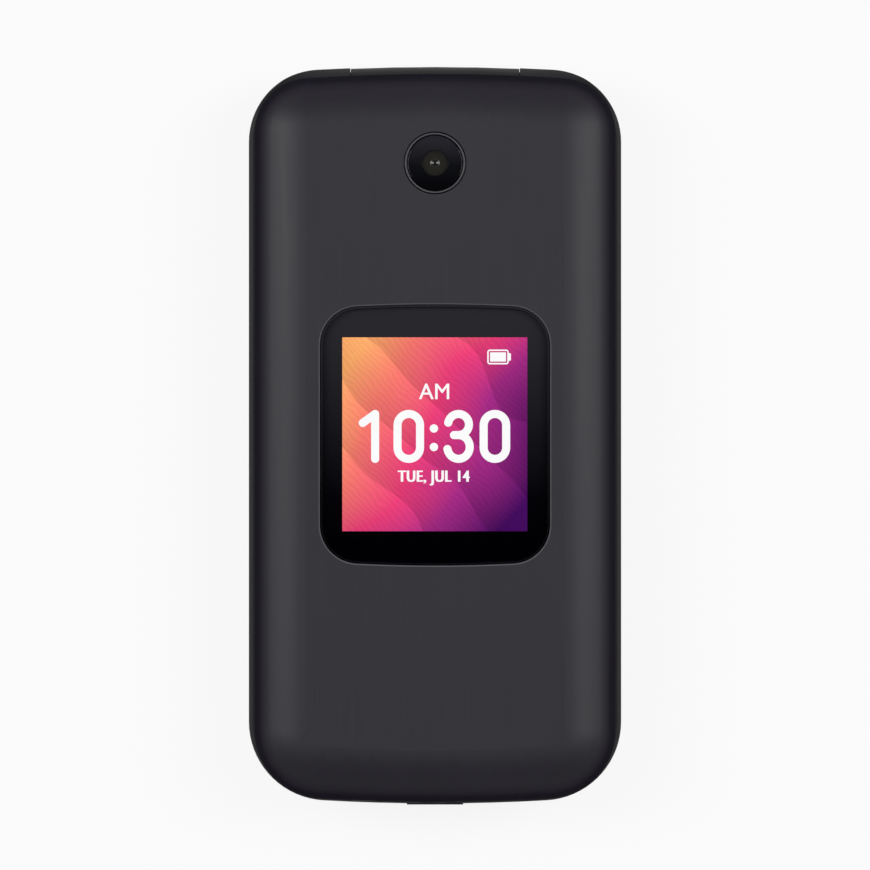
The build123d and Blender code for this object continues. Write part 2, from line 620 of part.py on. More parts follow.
with BuildPart() as lid_inner_cover:
    add(lower_form.part)
    slab((-SIDE, SIDE), (THUMB_END - 1, HINGE_END + 1), (-1, LID_FACE), Mode.SUBTRACT)
    fillet(lid_inner_cover.faces().sort_by(Axis.Z)[0].edges(), LID_EDGE_R)
    lip_z = (LID_FACE + LID_EDGE_R, SEAM_Z - RIM_R)
    slab((-LIP_HALF, LIP_HALF), (THUMB_END, THUMB_END + RIM_THUMB), lip_z)
    plate(lid_room_plan, (LID_FLOOR, SEAM_Z), Mode.SUBTRACT)
    slab((-SIDE, SIDE), (HINGE_Y, HINGE_END + 1), (LID_FACE, SEAM_Z), Mode.SUBTRACT)
    add(knuckles.part)
    add(hooded_knuckles.part)
    rod(SEAT_R, (-MIDDLE_SPACE, MIDDLE_SPACE), Mode.SUBTRACT)
    add(collar_grooves.part, mode=Mode.SUBTRACT)
    post(BOSS_R, LID_SCREWS, (LID_FLOOR - LAYER_GAP, SEAM_Z - COVER_WALL - LAYER_GAP))
    # pocket for the glass, and the opening behind it
    glass_pocket = rounded(
        2 * (GLASS_X + GLASS_GAP),
        GLASS_Y[1] - GLASS_Y[0] + 2 * GLASS_GAP,
        GLASS_CORNER_R + GLASS_GAP,
        y=sum(GLASS_Y) / 2,
    )
    plate(glass_pocket, (LID_FACE, GLASS_FLOOR), Mode.SUBTRACT)
    slab(
        (-VIEW_X - VIEW_MARGIN, VIEW_X + VIEW_MARGIN),
        (VIEW_Y[0] - VIEW_MARGIN, VIEW_Y[1] + VIEW_MARGIN),
        (LID_FACE, LID_FLOOR),
        Mode.SUBTRACT,
    )
    # earpiece slot with a seat for its mesh
    mesh_seat = rounded(
        EARPIECE_L + 2 * LAYER_GAP, EARPIECE_W + 2 * LAYER_GAP, EARPIECE_W / 2, y=EARPIECE_Y
    )
    plate(mesh_seat, (LID_FACE, GLASS_LOW + MESH_T), Mode.SUBTRACT)
    ear_slot = rounded(EARPIECE_L - KEY_GAP, EARPIECE_W / 2, EARPIECE_W / 5, y=EARPIECE_Y)
    plate(ear_slot, (LID_FACE, LID_FLOOR), Mode.SUBTRACT)
    # screws, each under a rubber bumper
    bumper_floor = LID_FACE - BUMPER_PROUD + BUMPER_T
    head_floor = bumper_floor + LAYER_GAP + SCREW_HEAD_T
    post(BUMPER_R + LAYER_GAP, LID_SCREWS, (LID_FACE, bumper_floor), Mode.SUBTRACT)
    post(SCREW_HEAD_R + SCREW_FREE, LID_SCREWS, (LID_FACE, head_floor), Mode.SUBTRACT)
    post(SCREW_R + SCREW_FREE, LID_SCREWS, (LID_FACE, SEAM_Z), Mode.SUBTRACT)
    # right knuckle holds the cartridge, left knuckle the bushing and the cable
    flatted_rod(
        CARTRIDGE_R + PRESS_GAP,
        CARTRIDGE_FLAT + PRESS_GAP,
        (MIDDLE_HALF, MIDDLE_SPACE + CARTRIDGE_L),
        Mode.SUBTRACT,
    )
    rod(CARTRIDGE_R + PRESS_GAP, (-MIDDLE_HALF - FLEX_ROOM, -MIDDLE_HALF), Mode.SUBTRACT)
    tail_y = HINGE_Y - CARTRIDGE_R + KEY_GAP - FLEX_T
    tail_x = (LID_BOARD_IN - SIDE, LID_BOARD_IN - SIDE + TAIL_W)
    slab(
        (tail_x[0] - RUN_GAP, tail_x[1] + RUN_GAP),
        (tail_y - RUN_GAP, tail_y + FLEX_T + RUN_GAP),
        (HINGE_Z + 1, LID_TOP - COVER_WALL - RUN_GAP),
        Mode.SUBTRACT,
    )
save("lid_inner_cover", lid_inner_cover)

with BuildPart() as outer_display_window:
    plate(window_plan, (LEDGE_HIGH, LID_TOP))
    top_loop = outer_display_window.faces().sort_by(Axis.Z)[-1].edges()
    chamfer(top_loop, WINDOW_BEVEL)
save("outer_display_window", outer_display_window)

with BuildPart() as outer_display_panel:
    outer_panel_size = (
        OUTER_ACTIVE_W + 2 * OUTER_PANEL_BORDER,
        OUTER_ACTIVE_L + 2 * OUTER_PANEL_BORDER,
        OUTER_PANEL_T,
    )
    block(outer_panel_size, 0, 0, OUTER_PANEL_LOW)
    fillet(outer_display_panel.edges().filter_by(Axis.Z), KEY_EDGE_R)
save("outer_display_panel", outer_display_panel)

with BuildPart() as camera_trim_ring:
    post(TRIM_R, [(0, CAMERA_Y)], (COVER_UNDER, LID_TOP))
    post(TRIM_R - TRIM_WALL, [(0, CAMERA_Y)], (COVER_UNDER, LID_TOP), Mode.SUBTRACT)
    ring_top = camera_trim_ring.faces().sort_by(Axis.Z)[-1].edges()
    fillet(ring_top, TRIM_WALL / 3)
save("camera_trim_ring", camera_trim_ring)

glass_r = TRIM_R - TRIM_WALL - CAMERA_GLASS_GAP
with BuildPart() as camera_window:
    post(glass_r, [(0, CAMERA_Y)], (COVER_UNDER + LAYER_GAP, COVER_UNDER + LAYER_GAP + CAMERA_GLASS_T))
    glass_top = camera_window.faces().sort_by(Axis.Z)[-1].edges()
    fillet(glass_top, CAMERA_GLASS_T / 2)
save("camera_window", camera_window)

with BuildPart() as camera_module:
    block((MODULE_W, MODULE_W, MODULE_L), 0, CAMERA_Y, CAMERA_LOW)
    fillet(camera_module.edges().filter_by(Axis.Z), KEY_EDGE_R)
    post(LENS_R, [(0, CAMERA_Y)], (CAMERA_LOW + MODULE_L, CAMERA_LOW + MODULE_L + LENS_L))
save("camera_module", camera_module)

with BuildPart() as main_display_window:
    glass_plan = rounded(2 * GLASS_X, GLASS_Y[1] - GLASS_Y[0], GLASS_CORNER_R, y=sum(GLASS_Y) / 2)
    plate(glass_plan, (GLASS_LOW, GLASS_FLOOR))
    chamfer(main_display_window.faces().sort_by(Axis.Z)[0].edges(), GLASS_SET_BACK)
save("main_display_window", main_display_window)

with BuildPart() as main_display_panel:
    slab((-PANEL_X, PANEL_X), PANEL_Y, (PANEL_LOW, PANEL_HIGH))
    fillet(main_display_panel.edges().filter_by(Axis.Z), KEY_EDGE_R)
save("main_display_panel", main_display_panel)

# Sheet metal plate between the two display panels, with lightening slots
with BuildPart() as lid_chassis:
    slab((-PANEL_X, PANEL_X), PANEL_Y, (CHASSIS_LOW, CHASSIS_HIGH))
    for y in (PANEL_Y[0] + PANEL_END, PANEL_Y[1] - PANEL_END):
        slot_plan = rounded(PANEL_X, BOSS_R, KEY_GAP / 2, y=y)
        plate(slot_plan, (CHASSIS_LOW, CHASSIS_HIGH), Mode.SUBTRACT)
save("lid_chassis", lid_chassis)

with BuildPart() as earpiece_speaker:
    block(SPEAKER_BODY, 0, EARPIECE_Y, LID_FLOOR + LAYER_GAP)
    fillet(earpiece_speaker.edges().filter_by(Axis.Z), KEY_GAP)
save("earpiece_speaker", earpiece_speaker)

with BuildPart() as earpiece_mesh:
    mesh_plan = rounded(EARPIECE_L, EARPIECE_W, EARPIECE_W / 2 - LAYER_GAP, y=EARPIECE_Y)
    plate(mesh_plan, (GLASS_LOW, GLASS_LOW + MESH_T))
save("earpiece_mesh", earpiece_mesh)

with BuildPart() as lid_magnet:
    block(MAGNET, MAGNET_X, EARPIECE_Y, LID_FLOOR + LAYER_GAP)
save("lid_magnet", lid_magnet)

with BuildPart() as lid_bumpers:
    post(BUMPER_R, LID_SCREWS, (LID_FACE - BUMPER_PROUD, bumper_floor))
    fillet(lid_bumpers.faces().group_by(Axis.Z)[0].edges(), BUMPER_PROUD - LAYER_GAP)
save("lid_bumpers", lid_bumpers)

with BuildPart() as lid_screws:
    post(SCREW_HEAD_R, LID_SCREWS, (head_floor - SCREW_HEAD_T, head_floor))
    post(SCREW_R, LID_SCREWS, (head_floor, head_floor + LID_SCREW_L))
save("lid_screws", lid_screws)

# Small board by the camera, with a flexible tail that turns down into the left knuckle
lid_board_low = LID_FLOOR + LID_BOARD_LIFT
lid_board_y = (PANEL_Y[1] + KEY_GAP, PANEL_Y[1] + KEY_GAP + LID_BOARD_L)
tail_z = (lid_board_low + LID_BOARD_T - FLEX_T, lid_board_low + LID_BOARD_T)
with BuildPart() as lid_board:
    slab(
        (LID_BOARD_IN - SIDE, SIDE - LID_BOARD_IN),
        lid_board_y,
        (lid_board_low, lid_board_low + LID_BOARD_T),
    )
    slab(tail_x, (lid_board_y[1], tail_y + FLEX_T), tail_z)
    slab(tail_x, (tail_y, tail_y + FLEX_T), (HINGE_Z + CARTRIDGE_R + LAYER_GAP, tail_z[1]))
save("lid_board", lid_board)

# Sealed cartridge: a keyed case with a blind bore for the cam shaft
cartridge_x = (MIDDLE_SPACE, MIDDLE_SPACE + CARTRIDGE_L)
shaft_end = MIDDLE_SPACE + SHAFT_IN_CARTRIDGE
with BuildPart() as hinge_cartridge:
    flatted_rod(CARTRIDGE_R, CARTRIDGE_FLAT, cartridge_x)
    rod(SHAFT_R + RUN_FIT, (cartridge_x[0], shaft_end + SIDE_GAP), Mode.SUBTRACT)
save("hinge_cartridge", hinge_cartridge)

with BuildPart() as hinge_bushing:
    rod(CARTRIDGE_R, (-MIDDLE_SPACE - BUSHING_IN_LID, -MIDDLE_HALF + BUSHING_IN_BARREL))
    rod(
        BUSHING_BORE_R,
        (-MIDDLE_SPACE - BUSHING_IN_LID, -MIDDLE_HALF + BUSHING_IN_BARREL),
        Mode.SUBTRACT,
    )
save("hinge_bushing", hinge_bushing)

# ---------------------------------------------------------------- keypad half

shaft_start = MIDDLE_HALF - SHAFT_KEYED
with BuildPart() as hinge_cam_shaft:
    flatted_rod(SHAFT_R, SHAFT_FLAT, (shaft_start, MIDDLE_HALF))
    rod(SHAFT_R, (MIDDLE_HALF, shaft_end))
save("hinge_cam_shaft", hinge_cam_shaft)

# Middle barrel: fuller in its middle, so that it continues the arc of the lid's end
barrel_line = [
    (x, BARREL_FRONT + END_ARC_R - sqrt(END_ARC_R**2 - x**2))
    for x in (-MIDDLE_HALF, -MIDDLE_HALF / 2, 0, MIDDLE_HALF / 2, MIDDLE_HALF)
]
with BuildPart(mode=Mode.PRIVATE) as middle_barrel:
    with BuildSketch(Plane.XY.offset(HINGE_Z)):
        with BuildLine():
            Polyline(*barrel_line, (MIDDLE_HALF, HINGE_Y), (-MIDDLE_HALF, HINGE_Y), close=True)
        make_face()
    revolve(axis=Axis((0, HINGE_Y, HINGE_Z), (1, 0, 0)))
    for side in (-1, 1):
        collar_x = sorted((side * MIDDLE_HALF, side * (MIDDLE_SPACE + COLLAR_L)))
        rod(COLLAR_R, collar_x)
        rod(COLLAR_R - COLLAR_WALL, collar_x, Mode.SUBTRACT)

# Keypad cover: the face round the keys, and the middle barrel of the hinge on a short neck
flex_x = (-CONNECTOR[0] - KEY_GAP, -KEY_GAP)
flex_z = BOARD_HIGH + CONNECTOR[2] + LAYER_GAP
with BuildPart() as keypad_cover:
    add(base_form.part)
    slab((-SIDE, SIDE), (THUMB_END, HINGE_END), (-1, HOUSING_TOP), Mode.SUBTRACT)
    plate(room_plan, (HOUSING_TOP, PLATE_LOW), Mode.SUBTRACT)
    field_plan = rounded(
        2 * FIELD_X, FIELD_Y[1] - FIELD_Y[0], FIELD_CORNER_R, y=sum(FIELD_Y) / 2
    )
    plate(field_plan, (FIELD_Z, BASE_TOP), Mode.SUBTRACT)
    slab((-MIDDLE_HALF, MIDDLE_HALF), (ROOM_HINGE, HINGE_Y), (NECK_LOW, BASE_TOP))
    add(middle_barrel.part)
    rod(CARTRIDGE_R + RUN_FIT, (-MIDDLE_HALF, shaft_start - SIDE_GAP), Mode.SUBTRACT)
    flatted_rod(
        SHAFT_R + PRESS_GAP, SHAFT_FLAT + PRESS_GAP, (shaft_start - SIDE_GAP, MIDDLE_HALF), Mode.SUBTRACT
    )
    slab(
        (flex_x[0] - RUN_GAP, flex_x[1] + RUN_GAP),
        (ROOM_HINGE - 1, HINGE_Y - CARTRIDGE_R / 2),
        (flex_z - RUN_GAP, PLATE_LOW - LAYER_GAP),
        Mode.SUBTRACT,
    )
    for x, y, width, length in KEYS.values():
        hole = rounded(width + 2 * KEY_CLEAR, length + 2 * KEY_CLEAR, KEY_CORNER_R + KEY_CLEAR, x, y)
        plate(hole, (PLATE_LOW, FIELD_Z), Mode.SUBTRACT)
    nav_width = 2 * (NAV_HALF + NAV_CLEAR)
    nav_hole = rounded(nav_width, nav_width, NAV_CORNER_R + NAV_CLEAR, y=NAV_Y)
    plate(nav_hole, (PLATE_LOW, FIELD_Z), Mode.SUBTRACT)
    mic_spot = [(MIC_X, BASE_THUMB + MIC_IN)]
    post(MIC_HOLE_R, mic_spot, (PLATE_LOW, BASE_TOP), Mode.SUBTRACT)
    post(BASE_BOSS_R, BASE_SCREWS, (BOARD_HIGH + LAYER_GAP, PLATE_LOW + LAYER_GAP))
    post(BASE_SCREW_R + PRESS_GAP, BASE_SCREWS, (BOARD_HIGH, PLATE_LOW), Mode.SUBTRACT)
save("keypad_cover", keypad_cover)

# Rear housing: outer wall, battery bay open to the back, deck over the rest
jack_y = BATTERY_Y[1] + JACK_FROM_BATTERY
jack_z = BOARD_LOW - JACK_H / 2
usb_y = BATTERY_Y[1] + USB_FROM_BATTERY
usb_z = (BOARD_LOW - USB_H, BOARD_LOW)
socket_x = BASE_SIDE - JACK_SKIN
rocker_y = BATTERY_Y[1] + ROCKER_FROM_BATTERY
rocker_z = (BOARD_LOW - ROCKER_UNDER_BOARD - ROCKER_H, BOARD_LOW - ROCKER_UNDER_BOARD)
rocker_pocket_x = -BASE_SIDE + ROCKER_SKIN
sim_y = ROOM_HINGE - SIM_BODY[1] / 2 - GROUP_GAP
speaker_y = BATTERY_Y[1] + LOUDSPEAKER_FROM_BATTERY
with BuildPart() as base_rear_housing:
    add(base_form.part)
    slab((-SIDE, SIDE), (THUMB_END, HINGE_END), (HOUSING_TOP, BASE_TOP + 1), Mode.SUBTRACT)
    # the battery cover takes the back and the lower edge
    slab((-SIDE, SIDE), (THUMB_END, COVER_SPLIT_Y + COVER_GAP), (-1, DECK_LOW), Mode.SUBTRACT)
    with BuildPart(mode=Mode.PRIVATE) as cover_edge:
        slab((-SIDE, SIDE), (THUMB_END, COVER_SPLIT_Y + COVER_GAP), (0, COVER_SPLIT_Z + COVER_GAP))
        plate(offset(room_plan, -COVER_GAP), (0, COVER_SPLIT_Z + COVER_GAP), Mode.SUBTRACT)
    add(cover_edge.part, mode=Mode.SUBTRACT)
    plate(low_room_plan, (DECK_TOP, BOARD_LOW), Mode.SUBTRACT)
    plate(room_plan, (BOARD_LOW, HOUSING_TOP), Mode.SUBTRACT)
    # battery bay
    slab(
        (-BAY_X - BAY_WALL, BAY_X + BAY_WALL),
        (BAY_Y[0] - BAY_WALL, BAY_Y[1] + BAY_WALL),
        (DECK_TOP, ROOF_HIGH),
    )
    slab((-BAY_X, BAY_X), BAY_Y, (DECK_LOW, ROOF_LOW), Mode.SUBTRACT)
    contact_x = CONTACT_BLOCK[0] / 2 + BAY_CLEAR
    slab(
        (-contact_x, contact_x),
        (BAY_Y[1] - BAY_CLEAR, BAY_Y[1] + BAY_WALL),
        (BOARD_LOW - CONTACT_BLOCK[2] - BAY_CLEAR, BOARD_LOW),
        Mode.SUBTRACT,
    )
    # card window and speaker slots in the deck
    slab(
        (SIM_X - SIM_BODY[0] / 2, SIM_X + SIM_BODY[0] / 2),
        (sim_y - SIM_BODY[1] / 2, COVER_SPLIT_Y),
        (DECK_LOW, DECK_TOP),
        Mode.SUBTRACT,
    )
    with Locations((LOUDSPEAKER_X, speaker_y, (DECK_LOW + DECK_TOP) / 2)):
        with GridLocations(SLOT_PITCH, 0, SPEAKER_SLOTS, 1):
            Box(SLOT_W, SLOT_L, DECK_TOP - DECK_LOW, mode=Mode.SUBTRACT)
    # screw towers
    post(BASE_BOSS_R, BASE_SCREWS, (DECK_TOP - LAYER_GAP, BOARD_LOW))
    post(BASE_SCREW_R + SCREW_FREE, BASE_SCREWS, (-1, BOARD_LOW), Mode.SUBTRACT)
    post(SCREW_HEAD_R + SCREW_FREE, BASE_SCREWS, (-1, DECK_LOW + SCREW_HEAD_T), Mode.SUBTRACT)
    # headset jack and its hole
    jack_half = JACK_W / 2 + BOARD_FREE
    slab(
        (LOW_ROOM_SIDE - 1, socket_x),
        (jack_y - jack_half, jack_y + jack_half),
        (DECK_TOP, HOUSING_TOP),
        Mode.SUBTRACT,
    )
    rod(JACK_HOLE_R, (socket_x, SIDE), Mode.SUBTRACT, jack_y, jack_z)
    # USB socket and its hole
    usb_half = USB_W / 2 + BOARD_FREE
    slab(
        (LOW_ROOM_SIDE - 1, socket_x),
        (usb_y - usb_half, usb_y + usb_half),
        (usb_z[0] - BOARD_FREE, BOARD_LOW),
        Mode.SUBTRACT,
    )
    with BuildSketch(Plane.YZ.offset(socket_x)):
        with Locations((usb_y, sum(usb_z) / 2)):
            RectangleRounded(USB_W + 2 * USB_HOLE_CLEAR, USB_H + USB_HOLE_CLEAR, KEY_GAP)
    extrude(amount=SIDE - socket_x, mode=Mode.SUBTRACT)
    # volume rocker: an opening, a pocket behind it and a rib that it rocks on
    opening_half = ROCKER_HALF + KEY_CLEAR
    slab(
        (-SIDE, rocker_pocket_x),
        (rocker_y - opening_half, rocker_y + opening_half),
        (rocker_z[0] - KEY_CLEAR, rocker_z[1] + KEY_CLEAR),
        Mode.SUBTRACT,
    )
    pocket_half = ROCKER_HALF + ROCKER_FLANGE + RUN_GAP
    slab(
        (rocker_pocket_x, -LOW_ROOM_SIDE),
        (rocker_y - pocket_half, rocker_y + pocket_half),
        (rocker_z[0] - RUN_GAP, BOARD_LOW),
        Mode.SUBTRACT,
    )
    flange_back = rocker_pocket_x + ROCKER_FLANGE_GAP + ROCKER_FLANGE_T
    slab(
        (flange_back + BOARD_FREE, -LOW_ROOM_SIDE + LEDGE_W),
        (rocker_y - KEY_CLEAR, rocker_y + KEY_CLEAR),
        (DECK_TOP, rocker_z[1]),
    )
    # room for the neck of the middle barrel
    neck_half = MIDDLE_HALF + BOARD_FREE
    neck_room_z = (NECK_LOW - BOARD_FREE, BASE_TOP)
    slab((-neck_half, neck_half), (ROOM_HINGE - 1, HINGE_END), neck_room_z, Mode.SUBTRACT)
save("base_rear_housing", base_rear_housing)

# Battery cover: the whole back as far as the seam, with a thumb grip and speaker slots
with BuildPart() as battery_cover:
    add(base_form.part)
    slab((-SIDE, SIDE), (THUMB_END, HINGE_END), (COVER_SPLIT_Z, BASE_TOP + 1), Mode.SUBTRACT)
    slab((-SIDE, SIDE), (COVER_SPLIT_Y, HINGE_END), (-1, BASE_TOP), Mode.SUBTRACT)
    plate(room_plan, (BACK_WALL, COVER_SPLIT_Z), Mode.SUBTRACT)
    with Locations((LOUDSPEAKER_X, speaker_y, BACK_WALL / 2)):
        with GridLocations(SLOT_PITCH, 0, SPEAKER_SLOTS, 1):
            Box(SLOT_W, SLOT_L, BACK_WALL, mode=Mode.SUBTRACT)
    with Locations((0, COVER_SPLIT_Y - GRIP_FROM_SPLIT, GROOVE_DEPTH / 2)):
        with GridLocations(0, GROOVE_PITCH, 1, GRIP_GROOVES):
            Box(GRIP_W, GROOVE_W, GROOVE_DEPTH, mode=Mode.SUBTRACT)
save("battery_cover", battery_cover)

with BuildPart() as battery:
    slab((-BATTERY_X, BATTERY_X), BATTERY_Y, (BATTERY_LOW, BATTERY_HIGH))
    fillet(battery.edges().filter_by(Axis.Z), KEY_GAP)
save("battery", battery)

# Main board, with the connector of the hinge cable
with BuildPart() as main_board:
    board_plan = plan_outline(
        ROOM_SIDE - BOARD_CLEAR,
        ROOM_HINGE - BOARD_CLEAR,
        ROOM_THUMB + BOARD_CLEAR,
        KEY_GAP,
        THUMB_CORNER_R - BASE_INSET - BASE_WALL - BOARD_CLEAR,
    )
    plate(board_plan, (BOARD_LOW, BOARD_HIGH))
    post(BASE_SCREW_R + KEY_CLEAR, BASE_SCREWS, (BOARD_LOW, BOARD_HIGH), Mode.SUBTRACT)
    connector_y = ROOM_HINGE - BOARD_CLEAR - CONNECTOR[1] / 2
    block(CONNECTOR, sum(flex_x) / 2, connector_y, BOARD_HIGH)
save("main_board", main_board)

# Cable through the hinge: a roll on the axis, and a strip to the board
with BuildPart() as hinge_flex:
    roll_x = (-MIDDLE_HALF - FLEX_ROOM + GROUP_GAP, shaft_start - GROUP_GAP)
    rod(FLEX_ROLL_R, roll_x)
    rod(FLEX_ROLL_R - 2 * FLEX_T, roll_x, Mode.SUBTRACT)
    slab(flex_x, (connector_y, HINGE_Y - FLEX_ROLL_R + FLEX_T), (flex_z, flex_z + FLEX_T))
save("hinge_flex", hinge_flex)

with BuildPart() as shield_can:
    can_y = BATTERY_Y[1] + BAY_WALL + KEY_GAP
    slab(CAN_X, (can_y, can_y + CAN_L), (BOARD_LOW - CAN_H, BOARD_LOW))
    fillet(shield_can.edges().filter_by(Axis.Z), KEY_EDGE_R)
    slab(
        (CAN_X[0] + CAN_WALL, CAN_X[1] - CAN_WALL),
        (can_y + CAN_WALL, can_y + CAN_L - CAN_WALL),
        (BOARD_LOW - CAN_H + CAN_WALL, BOARD_LOW),
        Mode.SUBTRACT,
    )
save("shield_can", shield_can)

with BuildPart() as battery_contacts:
    block_low = BOARD_LOW - CONTACT_BLOCK[2]
    block(CONTACT_BLOCK, 0, BAY_Y[1] + BOARD_FREE + CONTACT_BLOCK[1] / 2, block_low)
    with Locations((0, BAY_Y[1], block_low + CONTACT_BLOCK[2] / 2)):
        with GridLocations(CONTACT_PITCH, 0, CONTACT_BLADES, 1):
            Box(CONTACT_BLADE_W, 2 * BOARD_FREE, CONTACT_BLOCK[2] / 2)
save("battery_contacts", battery_contacts)

with BuildPart() as sim_card_holder:
    block(SIM_BODY, SIM_X, sim_y, BOARD_LOW - SIM_BODY[2])
    slot_size = (SIM_BODY[0] - 2 * KEY_GAP, SIM_BODY[1], SIM_SLOT)
    block(slot_size, SIM_X, sim_y - KEY_GAP, BOARD_LOW - SIM_SLOT - KEY_EDGE_R, Mode.SUBTRACT)
save("sim_card_holder", sim_card_holder)

with BuildPart() as headset_jack:
    slab(
        (socket_x - JACK_L, socket_x),
        (jack_y - JACK_W / 2, jack_y + JACK_W / 2),
        (BOARD_LOW - JACK_H, BOARD_LOW),
    )
    rod(JACK_BORE_R, (socket_x - JACK_L, socket_x), Mode.SUBTRACT, jack_y, jack_z)
save("headset_jack", headset_jack)

with BuildPart() as usb_socket:
    slab((socket_x - USB_L, socket_x), (usb_y - USB_W / 2, usb_y + USB_W / 2), usb_z)
    fillet(usb_socket.edges().filter_by(Axis.X), KEY_EDGE_R)
    slab(
        (socket_x - USB_L + USB_SHELL, socket_x),
        (usb_y - USB_W / 2 + USB_SHELL, usb_y + USB_W / 2 - USB_SHELL),
        (usb_z[0] + USB_SHELL, usb_z[1] - USB_SHELL),
        Mode.SUBTRACT,
    )
    slab(
        (socket_x - USB_L, socket_x - USB_L + USB_TONGUE[1]),
        (usb_y - USB_TONGUE[0] / 2, usb_y + USB_TONGUE[0] / 2),
        (usb_z[1] - USB_SHELL - 2 * USB_TONGUE[2], usb_z[1] - USB_SHELL - USB_TONGUE[2]),
    )
save("usb_socket", usb_socket)

with BuildPart() as microphone:
    post(MIC_R, mic_spot, (BOARD_HIGH, BOARD_HIGH + MIC_T))
save("microphone", microphone)

with BuildPart() as loudspeaker:
    block((LOUDSPEAKER_W, LOUDSPEAKER_L, LOUDSPEAKER_T), LOUDSPEAKER_X, speaker_y, DECK_TOP)
    fillet(loudspeaker.edges().filter_by(Axis.Z), KEY_CORNER_R)
save("loudspeaker", loudspeaker)

with BuildPart() as vibration_motor:
    motor_spot = [(MOTOR_X, BATTERY_Y[1] + MOTOR_FROM_BATTERY)]
    post(MOTOR_R, motor_spot, (BOARD_LOW - MOTOR_T, BOARD_LOW))
    fillet(vibration_motor.edges().group_by(Axis.Z)[0], KEY_EDGE_R)
save("vibration_motor", vibration_motor)

with BuildPart() as base_screws:
    post(SCREW_HEAD_R, BASE_SCREWS, (DECK_LOW, DECK_LOW + SCREW_HEAD_T))
    post(BASE_SCREW_R, BASE_SCREWS, (DECK_LOW + SCREW_HEAD_T, DECK_LOW + SCREW_HEAD_T + BASE_SCREW_L))
save("base_screws", base_screws)

# ----------------------------------------------------------------------- keys

with BuildPart() as dome_sheet:
    sheet_plan = rounded(
        2 * KEYS_X, KEYS_Y[1] - KEYS_Y[0], FIELD_CORNER_R - FIELD_MARGIN, y=sum(KEYS_Y) / 2
    )
    plate(sheet_plan, (BOARD_HIGH, BOARD_HIGH + DOME_SHEET_T))
    dome_spots = KEY_SPOTS + NAV_SPOTS + [(0, NAV_Y)]
    post(DOME_R, dome_spots, (BOARD_HIGH, DOME_TOP))
save("dome_sheet", dome_sheet)

mat_high = KEY_LOW - MAT_UNDER_KEYS
with BuildPart() as key_mat:
    plate(sheet_plan, (mat_high - MAT_T, mat_high))
    post(CARRIER_R + GROUP_GAP, [(0, NAV_Y)], (mat_high - MAT_T, mat_high), Mode.SUBTRACT)
    post(PLUNGER_R, KEY_SPOTS, (mat_high - MAT_T - PLUNGER_T, mat_high - MAT_T))
save("key_mat", key_mat)

for name, (x, y, width, length) in KEYS.items():
    with BuildPart() as key:
        plate(rounded(width, length, KEY_CORNER_R, x, y), (KEY_LOW, KEY_TOP))
        fillet(key.faces().sort_by(Axis.Z)[-1].edges(), KEY_EDGE_R)
        flange_plan = rounded(
            width + 2 * KEY_FLANGE, length + 2 * KEY_FLANGE, KEY_CORNER_R + KEY_FLANGE, x, y
        )
        plate(flange_plan, (KEY_LOW, KEY_LOW + KEY_FLANGE_T))
    save(name, key)

with BuildPart() as nav_carrier:
    carrier_low = DOME_TOP + CARRIER_OVER_DOMES
    post(CARRIER_R, [(0, NAV_Y)], (carrier_low, carrier_low + CARRIER_T))
    post(CARRIER_BORE_R, [(0, NAV_Y)], (carrier_low, carrier_low + CARRIER_T), Mode.SUBTRACT)
save("nav_carrier", nav_carrier)

with BuildPart() as nav_ring:
    ring_low = PLATE_LOW - NAV_LIFT
    plate(rounded(2 * NAV_HALF, 2 * NAV_HALF, NAV_CORNER_R, y=NAV_Y), (ring_low, KEY_TOP))
    post(OK_R + OK_CLEAR, [(0, NAV_Y)], (ring_low, KEY_TOP), Mode.SUBTRACT)
    fillet(nav_ring.faces().sort_by(Axis.Z)[-1].edges(), KEY_EDGE_R)
save("nav_ring", nav_ring)

with BuildPart() as ok_key:
    post(OK_R, [(0, NAV_Y)], (PLATE_LOW, KEY_TOP))
    fillet(ok_key.faces().sort_by(Axis.Z)[-1].edges(), KEY_EDGE_R)
    post(OK_STEM_R, [(0, NAV_Y)], (DOME_TOP + STEM_OVER_DOMES, PLATE_LOW))
save("ok_key", ok_key)

with BuildPart() as volume_rocker:
    flange_front = rocker_pocket_x + ROCKER_FLANGE_GAP
    slab((-SIDE, flange_front), (rocker_y - ROCKER_HALF, rocker_y + ROCKER_HALF), rocker_z)
    fillet(volume_rocker.faces().sort_by(Axis.X)[0].edges(), KEY_EDGE_R)
    flange_half = ROCKER_HALF + ROCKER_FLANGE
    slab((flange_front, flange_back), (rocker_y - flange_half, rocker_y + flange_half), rocker_z)
    for y in (rocker_y - ROCKER_NUB, rocker_y + ROCKER_NUB):
        rod(ROCKER_H / 4, (flange_back, flange_back + ROCKER_NUB_L), y=y, z=sum(rocker_z) / 2)
save("volume_rocker", volume_rocker)

with BuildPart() as side_switches:
    switch_x = flange_back + ROCKER_NUB_L + SWITCH_GAP
    for y in (rocker_y - ROCKER_NUB, rocker_y + ROCKER_NUB):
        rod(ROCKER_H / 4, (switch_x, switch_x + SWITCH_PLUNGER_L), y=y, z=sum(rocker_z) / 2)
        block(SWITCH, switch_x + SWITCH_PLUNGER_L + SWITCH[0] / 2, y, BOARD_LOW - SWITCH[2])
save("side_switches", side_switches)
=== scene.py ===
# %% [markdown]
# # A folded flip phone, lying on its back
#
# The hard pieces of this phone arrive already modelled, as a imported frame: every cover, key,
# screw and window is a mesh in metres, in its true place, parented to the body that it moves
# with. What is missing is everything that makes them look real. This lesson paints and grains
# each piece, prints the legends on the keys, lights up both displays and sets a small studio.
#
# The phone lies with X across it, Y towards the hinge and Z up out of the lid.

import math

import bmesh
import bpy
from mathutils import Matrix, Vector


